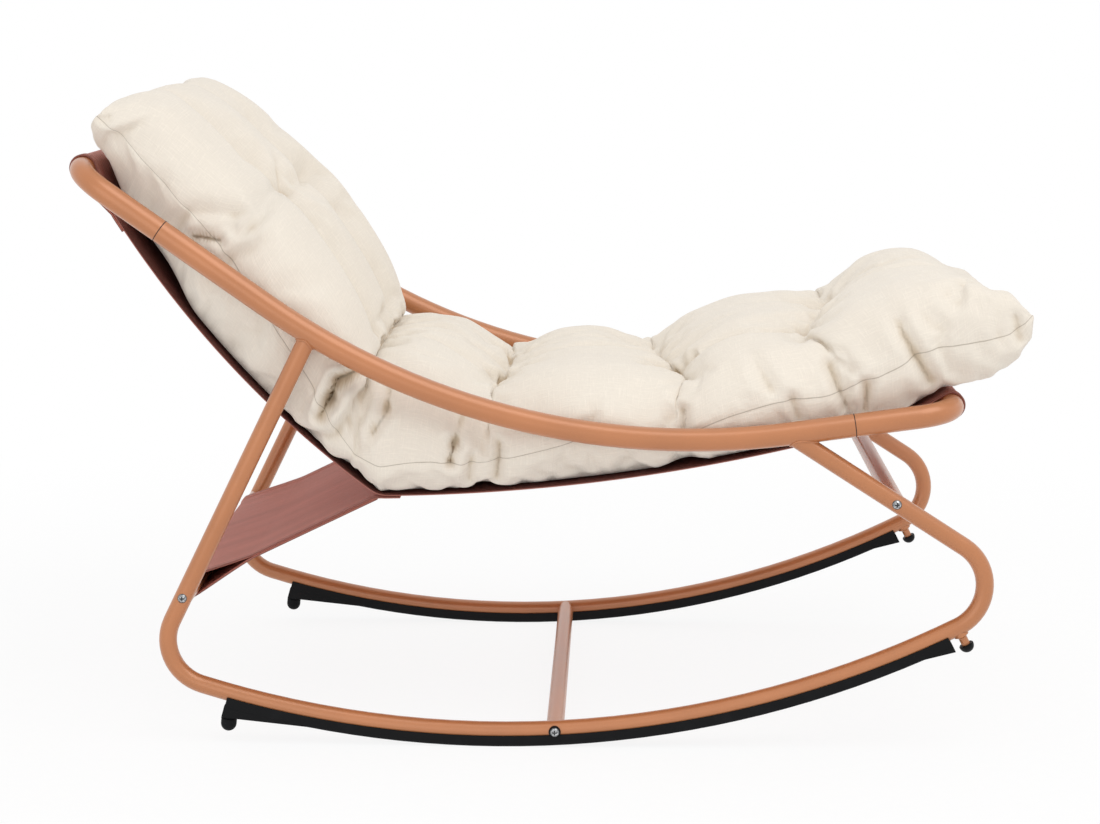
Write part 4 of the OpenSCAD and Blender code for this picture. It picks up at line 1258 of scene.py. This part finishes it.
    def mesh(self):
        """Points, faces, and each face's way over the cloth."""
        top, under = self.grids()
        rows, columns, _ = top.shape
        inside = np.zeros((rows, columns), bool)
        inside[1:-1, 1:-1] = True
        index = np.arange(rows * columns).reshape(rows, columns)
        low_index = index.copy()
        low_index[inside] = rows * columns + np.arange(inside.sum())
        points = np.concatenate([top.reshape(-1, 3), under[inside]])
        top_faces = grid_faces(rows, columns, True)
        low_faces = low_index.ravel()[grid_faces(rows, columns)]
        self.index, self.low_index, self.count = index, low_index, len(points)
        uv = [self.cloth_uv(top), self.cloth_uv(under) + (0.0, 1.0)]
        loops = np.concatenate([uv[0].reshape(-1, 2)[top_faces.ravel()],
            uv[1].reshape(-1, 2)[grid_faces(rows, columns).ravel()]])
        return points, np.concatenate([top_faces, low_faces]), loops

    def cloth_uv(self, grid):
        """Ways along and across the cloth, in metres."""
        along = np.concatenate([[0], np.cumsum(np.linalg.norm(np.diff(grid, axis=0), axis=2).mean(1))])
        steps = np.linalg.norm(np.diff(grid, axis=1), axis=2)
        over = np.concatenate([np.zeros((len(grid), 1)), np.cumsum(steps, axis=1)], 1)
        over = over - over[:, over.shape[1] // 2][:, None]
        return np.stack([np.broadcast_to(along[:, None], over.shape), over], -1)


def coordinates(mesh, key="co"):
    """The places of a mesh's points, or their normals with the key normal."""
    out = np.zeros(len(mesh.vertices) * 3)
    mesh.vertices.foreach_get(key, out)
    return out.reshape(-1, 3)


def place_points(mesh, points):
    mesh.vertices.foreach_set("co", np.asarray(points, np.float32).ravel())
    mesh.update()


FILL_FRAMES = 20


def filled(ob, held, sizes):
    """Blows the cloth up by simulation, keeps each point near its start, and gives the largest move."""
    start = coordinates(ob.data)
    group = ob.vertex_groups.new(name="held")
    for weight in np.unique(np.round(held, 2)):
        if weight > 0:
            group.add([int(i) for i in np.where(np.round(held, 2) == weight)[0]], float(weight), "REPLACE")
    cloth = ob.modifiers.new("Filling", "CLOTH")
    set_up = cloth.settings
    set_up.quality = 5
    set_up.mass = 0.3
    set_up.tension_stiffness = set_up.compression_stiffness = 15.0
    set_up.shear_stiffness = 5.0
    set_up.bending_stiffness = 0.08
    set_up.use_pressure = True
    set_up.uniform_pressure_force = sizes.pressure
    set_up.shrink_min = -sizes.slack
    set_up.vertex_group_mass = group.name
    set_up.effector_weights.gravity = 0.0
    cloth.collision_settings.use_collision = False
    scene = bpy.context.scene
    for number in range(1, FILL_FRAMES + 1):
        scene.frame_set(number)
    settled = ob.evaluated_get(bpy.context.evaluated_depsgraph_get())
    moved = coordinates(settled.data)
    ob.modifiers.clear()
    scene.frame_set(1)
    step = moved - start
    far = np.linalg.norm(step, axis=1)
    step *= (np.minimum(far, sizes.swell) / np.maximum(far, 1e-9))[:, None]
    place_points(ob.data, start + step)
    return float(far.max())


def hollows(mesh, rounds=3):
    """How hollow the surface is at each point, smoothed over its neighbours."""
    points = coordinates(mesh)
    edges = np.zeros(len(mesh.edges) * 2, np.int64)
    mesh.edges.foreach_get("vertices", edges)
    a, b = edges.reshape(-1, 2).T
    count = np.bincount(np.concatenate([a, b]), minlength=len(points))[:, None]

    def around(values):
        total = np.zeros_like(values)
        np.add.at(total, a, values[b])
        np.add.at(total, b, values[a])
        return total / count

    smooth = points
    for _ in range(rounds):
        smooth = around(smooth)
    depth = ((smooth - points) * coordinates(mesh, "normal")).sum(1)[:, None]
    for _ in range(2):
        depth = around(depth)
    return depth[:, 0]


class CLOTH_OT_cushion(bpy.types.Operator):
    """Long cushion with three columns on the back, full creases and tufts, filled by cloth simulation"""
    bl_idname = "lounge.cushion"
    bl_label = "Cushion"

    def execute(self, context):
        sizes = context.scene.lounge_cushion
        form = CushionForm(sizes, context.scene.lounge_sling)
        points, faces, uv = form.mesh()
        self.fold_sides(points, form, FOLD_BEFORE)
        made = piece("cushion_cover", points, faces, linen(context.scene.lounge_finishes.cushion_colour), uv,
            self.ways(points, form))
        moved = filled(made, self.held(points, form), sizes)
        print("cushion: largest move of the filling", round(moved * 1000, 1), "mm")
        settled = self.kept_clear(coordinates(made.data), form, sizes)
        place_points(made.data, settled)
        applied(made, "SUBSURF", levels=1, render_levels=1)
        place_points(made.data, self.kept_clear(self.worked(made.data, form), form, sizes))
        made.data.polygons.foreach_set("use_smooth", [True] * len(made.data.polygons))
        self.mark(made, form)
        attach(made, "cushion")
        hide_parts("cushion")
        self.stitches(context, made, form)
        return {"FINISHED"}

    def fold_sides(self, points, form, share):
        """Presses the vertical folds into both sides, as creases with a fuller lip beside them."""
        side = ease((np.abs(points[:, 1]) - SIDE_FROM) / SIDE_OVER)
        flat = points[:, [0, 2]]
        for start, end, depth, width, _ in side_folds():
            away, _ = form.off_line(flat, start, end)
            press = cusp(away, width) - 0.35 * bell(away - 2.4 * width, 1.3 * width)
            points[:, 1] -= np.sign(points[:, 1]) * side * share * depth * press

    def ways(self, points, form):
        """Where each point lies on the cloth: row, ways along and across, and distance from the seam."""
        top = points[form.index]
        rows, columns, _ = top.shape
        over, across = [np.cumsum(np.linalg.norm(np.diff(top, axis=i), axis=2), axis=i) for i in (0, 1)]
        over = np.concatenate([np.zeros((1, columns)), over])
        across = np.concatenate([np.zeros((rows, 1)), across], 1)
        to_seam = np.minimum(np.minimum(across, across[:, -1:] - across), np.minimum(over, over[-1:] - over))
        number = np.arange(columns)
        low_side = np.minimum(number, columns - 1 - number) * form.sizes.point_gap
        low_end = np.minimum(form.rows_at, form.length - form.rows_at)
        low_seam = np.minimum(low_side[None, :], low_end[:, None])
        way = np.broadcast_to(form.rows_at[:, None], across.shape)
        grids = {
            "way": (way, way), "over": (over, over), "across": (across, across), "edge": (to_seam, low_seam),
            "upper": (1 + 0 * across, 0 * across)}
        out = {}
        for key, (high, low) in grids.items():
            values = np.zeros(len(points))
            values[form.low_index.ravel()] = low.ravel()
            values[form.index.ravel()] = high.ravel()
            out[key] = values
        return out

    def held(self, points, form):
        """How firmly each point is held while the cushion fills: underside, tufts and creases."""
        out = np.zeros(form.count)
        low = form.low_index
        inside = np.abs(points[low][..., 1]) < form.sizes.half_width * mix(0.86, 0.96, form.foot_share())
        out[low[inside]] = 1.0
        out[form.index.ravel()] = 0.0
        y = points[form.index][..., 1]
        s = form.rows_at[:, None]
        for place, _ in form.tufts:
            bar = (np.abs(s - place) < 0.007) & (np.abs(np.abs(y) - TUFT_Y) < TUFT_HELD)
            out[form.index[bar]] = 1.0
        corner = (form.length - s < 0.07) & (y < -0.20)
        valley = (np.abs(np.abs(y) - TUFT_Y) < 0.009) & (s < form.creases[0] - 0.03)
        picks = [(form.index[corner], 0.7), (form.index[valley], 0.38)]
        for place in form.creases:
            row = form.row_at(place)
            picks.append((form.index[row], mix(0.85, 0.35, ease((np.abs(y[row]) - 0.17) / 0.08))))
        for picked, firm in picks:
            out[picked] = np.maximum(out[picked], firm)
        out[form.index[[0, -1]]] = 1.0
        return out

    def worked(self, mesh, form):
        """Sewing marks: the seam's groove and puckers, gathers at the creases, and folds out from tufts."""
        points, normals = coordinates(mesh), coordinates(mesh, "normal")
        keys = ("way", "over", "across", "edge", "upper")
        way, over, across, edge, upper = [self.read(mesh, key) for key in keys]
        y = points[:, 1]
        rise = -0.0010 * np.exp(-edge / 0.0022)
        wander = np.sin(over * 31) + 0.7 * np.sin(over * 83 + 1.0)
        strength = 0.55 + 0.45 * np.sin(over * 17 + np.sign(y)) * np.sin(over * 29)
        rise += 0.0008 * strength * np.sin(over * (TURN / 0.019) + 1.6 * wander) * bell(edge - 0.009, 0.012)
        for place in form.creases:
            away = way - place
            wave = np.sin(across * (TURN / 0.030) + 2.0 * np.sin(across * 23 + place * 40) + away * 25)
            gathered = 0.35 + 0.65 * bell(np.abs(y) - TUFT_Y, 0.055)
            rise += upper * 0.0020 * gathered * wave * bell(np.abs(away) - 0.012, 0.018) * ease(edge / 0.03)
            rise -= upper * 0.0030 * gathered * cusp(away, 0.006) * ease(edge / 0.02)
        rise -= upper * 0.0080 * cusp(np.abs(y) - VALLEY_Y, 0.0045) * ease((form.creases[0] - way) / 0.04)
        for number, (place, _) in enumerate(form.tufts):
            for side in (-1, 1):
                dx, dy = way - place, y - side * TUFT_Y
                reach = np.hypot(dx, dy)
                turn = np.arctan2(dx, dy)
                folds = np.cos(7 * turn + number * 1.9 + side + 60 * reach)
                rise += upper * (0.0018 if number == 0 else 0.0034) * folds * bell(reach - 0.032, 0.020)
                rise -= upper * 0.0090 * np.exp(-np.hypot(dx, np.maximum(np.abs(dy) - TUFT_SEWN, 0)) / 0.006)
        points = points + normals * rise[:, None]
        self.fold_sides(points, form, FOLD_AFTER)
        return points

    def read(self, mesh, key):
        """A point attribute as an array; all but the distance from the seam are dropped."""
        found = mesh.attributes[key]
        out = np.zeros(len(mesh.vertices))
        found.data.foreach_get("value", out)
        if key != "edge":
            mesh.attributes.remove(found)
        return out

    def kept_clear(self, points, form, sizes):
        """The points kept above the sling and between the rails."""
        flat = points[:, [0, 2]]
        dense = spaced(form.under, 0.002)
        normal = normals_of(dense)
        for part in blocks(len(points)):
            nearest = np.argmin(((flat[part][:, None, :] - dense[None, :, :]) ** 2).sum(2), axis=1)
            depth = ((flat[part] - dense[nearest]) * normal[nearest]).sum(1)
            push = np.where((depth < 0) & (depth > -0.03), -depth, 0)
            flat[part] += normal[nearest] * push[:, None]
        points[:, [0, 2]] = flat
        limit = sizes.half_width + SIDE_ROOM
        points[:, 1] = np.clip(points[:, 1], -limit, limit)
        return points

    def mark(self, made, form):
        """Attributes for the shader: how deep in a fold, which sets the painted shade in folds, along the
        back's valleys and over the tufts, and how close to stitching.
        """
        mesh = made.data
        depth = hollows(mesh)
        fold = ease((depth - 0.0002) / 0.0020)
        points = coordinates(mesh)
        seam = points[rim_of(form.index)]
        y = points[form.index][..., 1]
        # Painted shade along the valleys of the back, laid into the fold attribute.
        on_valley = bell(np.abs(y) - VALLEY_Y, 0.003) > 0.3
        valley = form.index[on_valley & (form.rows_at[:, None] < form.creases[0])]
        fold[valley] = np.maximum(fold[valley], 0.42)
        # Painted shade over the tuft rows, laid into the fold attribute.
        for place, _ in form.tufts:
            row = form.row_at(place)
            picked = form.index[row][np.abs(np.abs(y[row]) - TUFT_Y) < 0.028]
            fold[picked] = 1.0
        pucker = np.zeros(len(points))
        for part in blocks(len(points)):
            away = np.sqrt(((points[part][:, None, :] - seam[None, ::3, :]) ** 2).sum(2).min(1))
            pucker[part] = bell(away, 0.025)
        pucker = np.maximum(pucker, np.clip(depth / 0.0008, 0, 1))
        for key, values in (("fold", fold), ("pucker", pucker)):
            mesh.attributes.new(key, "FLOAT", "POINT").data.foreach_set("value", values.astype(np.float32))

    def stitches(self, context, made, form):
        """Thread along the edge seam and over the tufts."""
        points, normals = coordinates(made.data), coordinates(made.data, "normal")
        seam = rim_of(form.index)
        seam = np.append(seam, seam[0])
        rows = [points[seam] + normals[seam] * 0.0003]
        colour = shade(context.scene.lounge_finishes.cushion_colour, 0.60)
        line = along_lines("cushion_seam_stitches", rows, stitch_tree(), thread("seam_thread", colour),
            pitch=0.0030, length=0.0029, thread=0.00016)
        bars = []
        y = points[form.index][..., 1]
        for place, _ in form.tufts:
            row = form.row_at(place)
            for side in (-1, 1):
                picked = form.index[row][np.abs(y[row] - side * TUFT_Y) < TUFT_SEWN]
                bars.append(points[picked] + normals[picked] * 0.0006)
        tie_thread = thread("tuft_thread", shade(colour, 0.8))
        ties = along_lines("cushion_tuft_stitches", bars, stitch_tree(), tie_thread,
            pitch=0.0028, length=0.0026, thread=0.0008)
        for ob in (line, ties):
            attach(ob, "cushion")


# Panel and registration


STEPS = [
    STAGE_OT_chair, FRAME_OT_paint, FRAME_OT_fasteners, FRAME_OT_pads,
    CLOTH_OT_sling, CLOTH_OT_tie, CLOTH_OT_sewing, CLOTH_OT_cushion]
SIZES = {
    "lounge_sling": SlingSizes, "lounge_cushion": CushionSizes,
    "lounge_finishes": Finishes, "lounge_stage": StageSizes}


class VIEW3D_PT_lounge(bpy.types.Panel):
    """Steps that dress the lounge chair, and their sizes"""
    bl_label = "Lounge Chair"
    bl_space_type = "VIEW_3D"
    bl_region_type = "UI"
    bl_category = "Lounge Chair"

    def draw(self, context):
        for step in STEPS:
            self.layout.operator(step.bl_idname)
        for name, group in SIZES.items():
            part = self.layout.box()
            for key in group.__annotations__:
                part.prop(getattr(context.scene, name), key)


def register():
    for group in SIZES.values():
        bpy.utils.register_class(group)
    for name, group in SIZES.items():
        setattr(bpy.types.Scene, name, bpy.props.PointerProperty(type=group))
    for step in STEPS + [VIEW3D_PT_lounge]:
        bpy.utils.register_class(step)


def unregister():
    for step in reversed(STEPS + [VIEW3D_PT_lounge]):
        bpy.utils.unregister_class(step)
    for name, group in SIZES.items():
        delattr(bpy.types.Scene, name)
        bpy.utils.unregister_class(group)


def main():
    register()
    for step in STEPS:
        family, name = step.bl_idname.split(".")
        getattr(getattr(bpy.ops, family), name)()


if __name__ == "__main__":
    main()
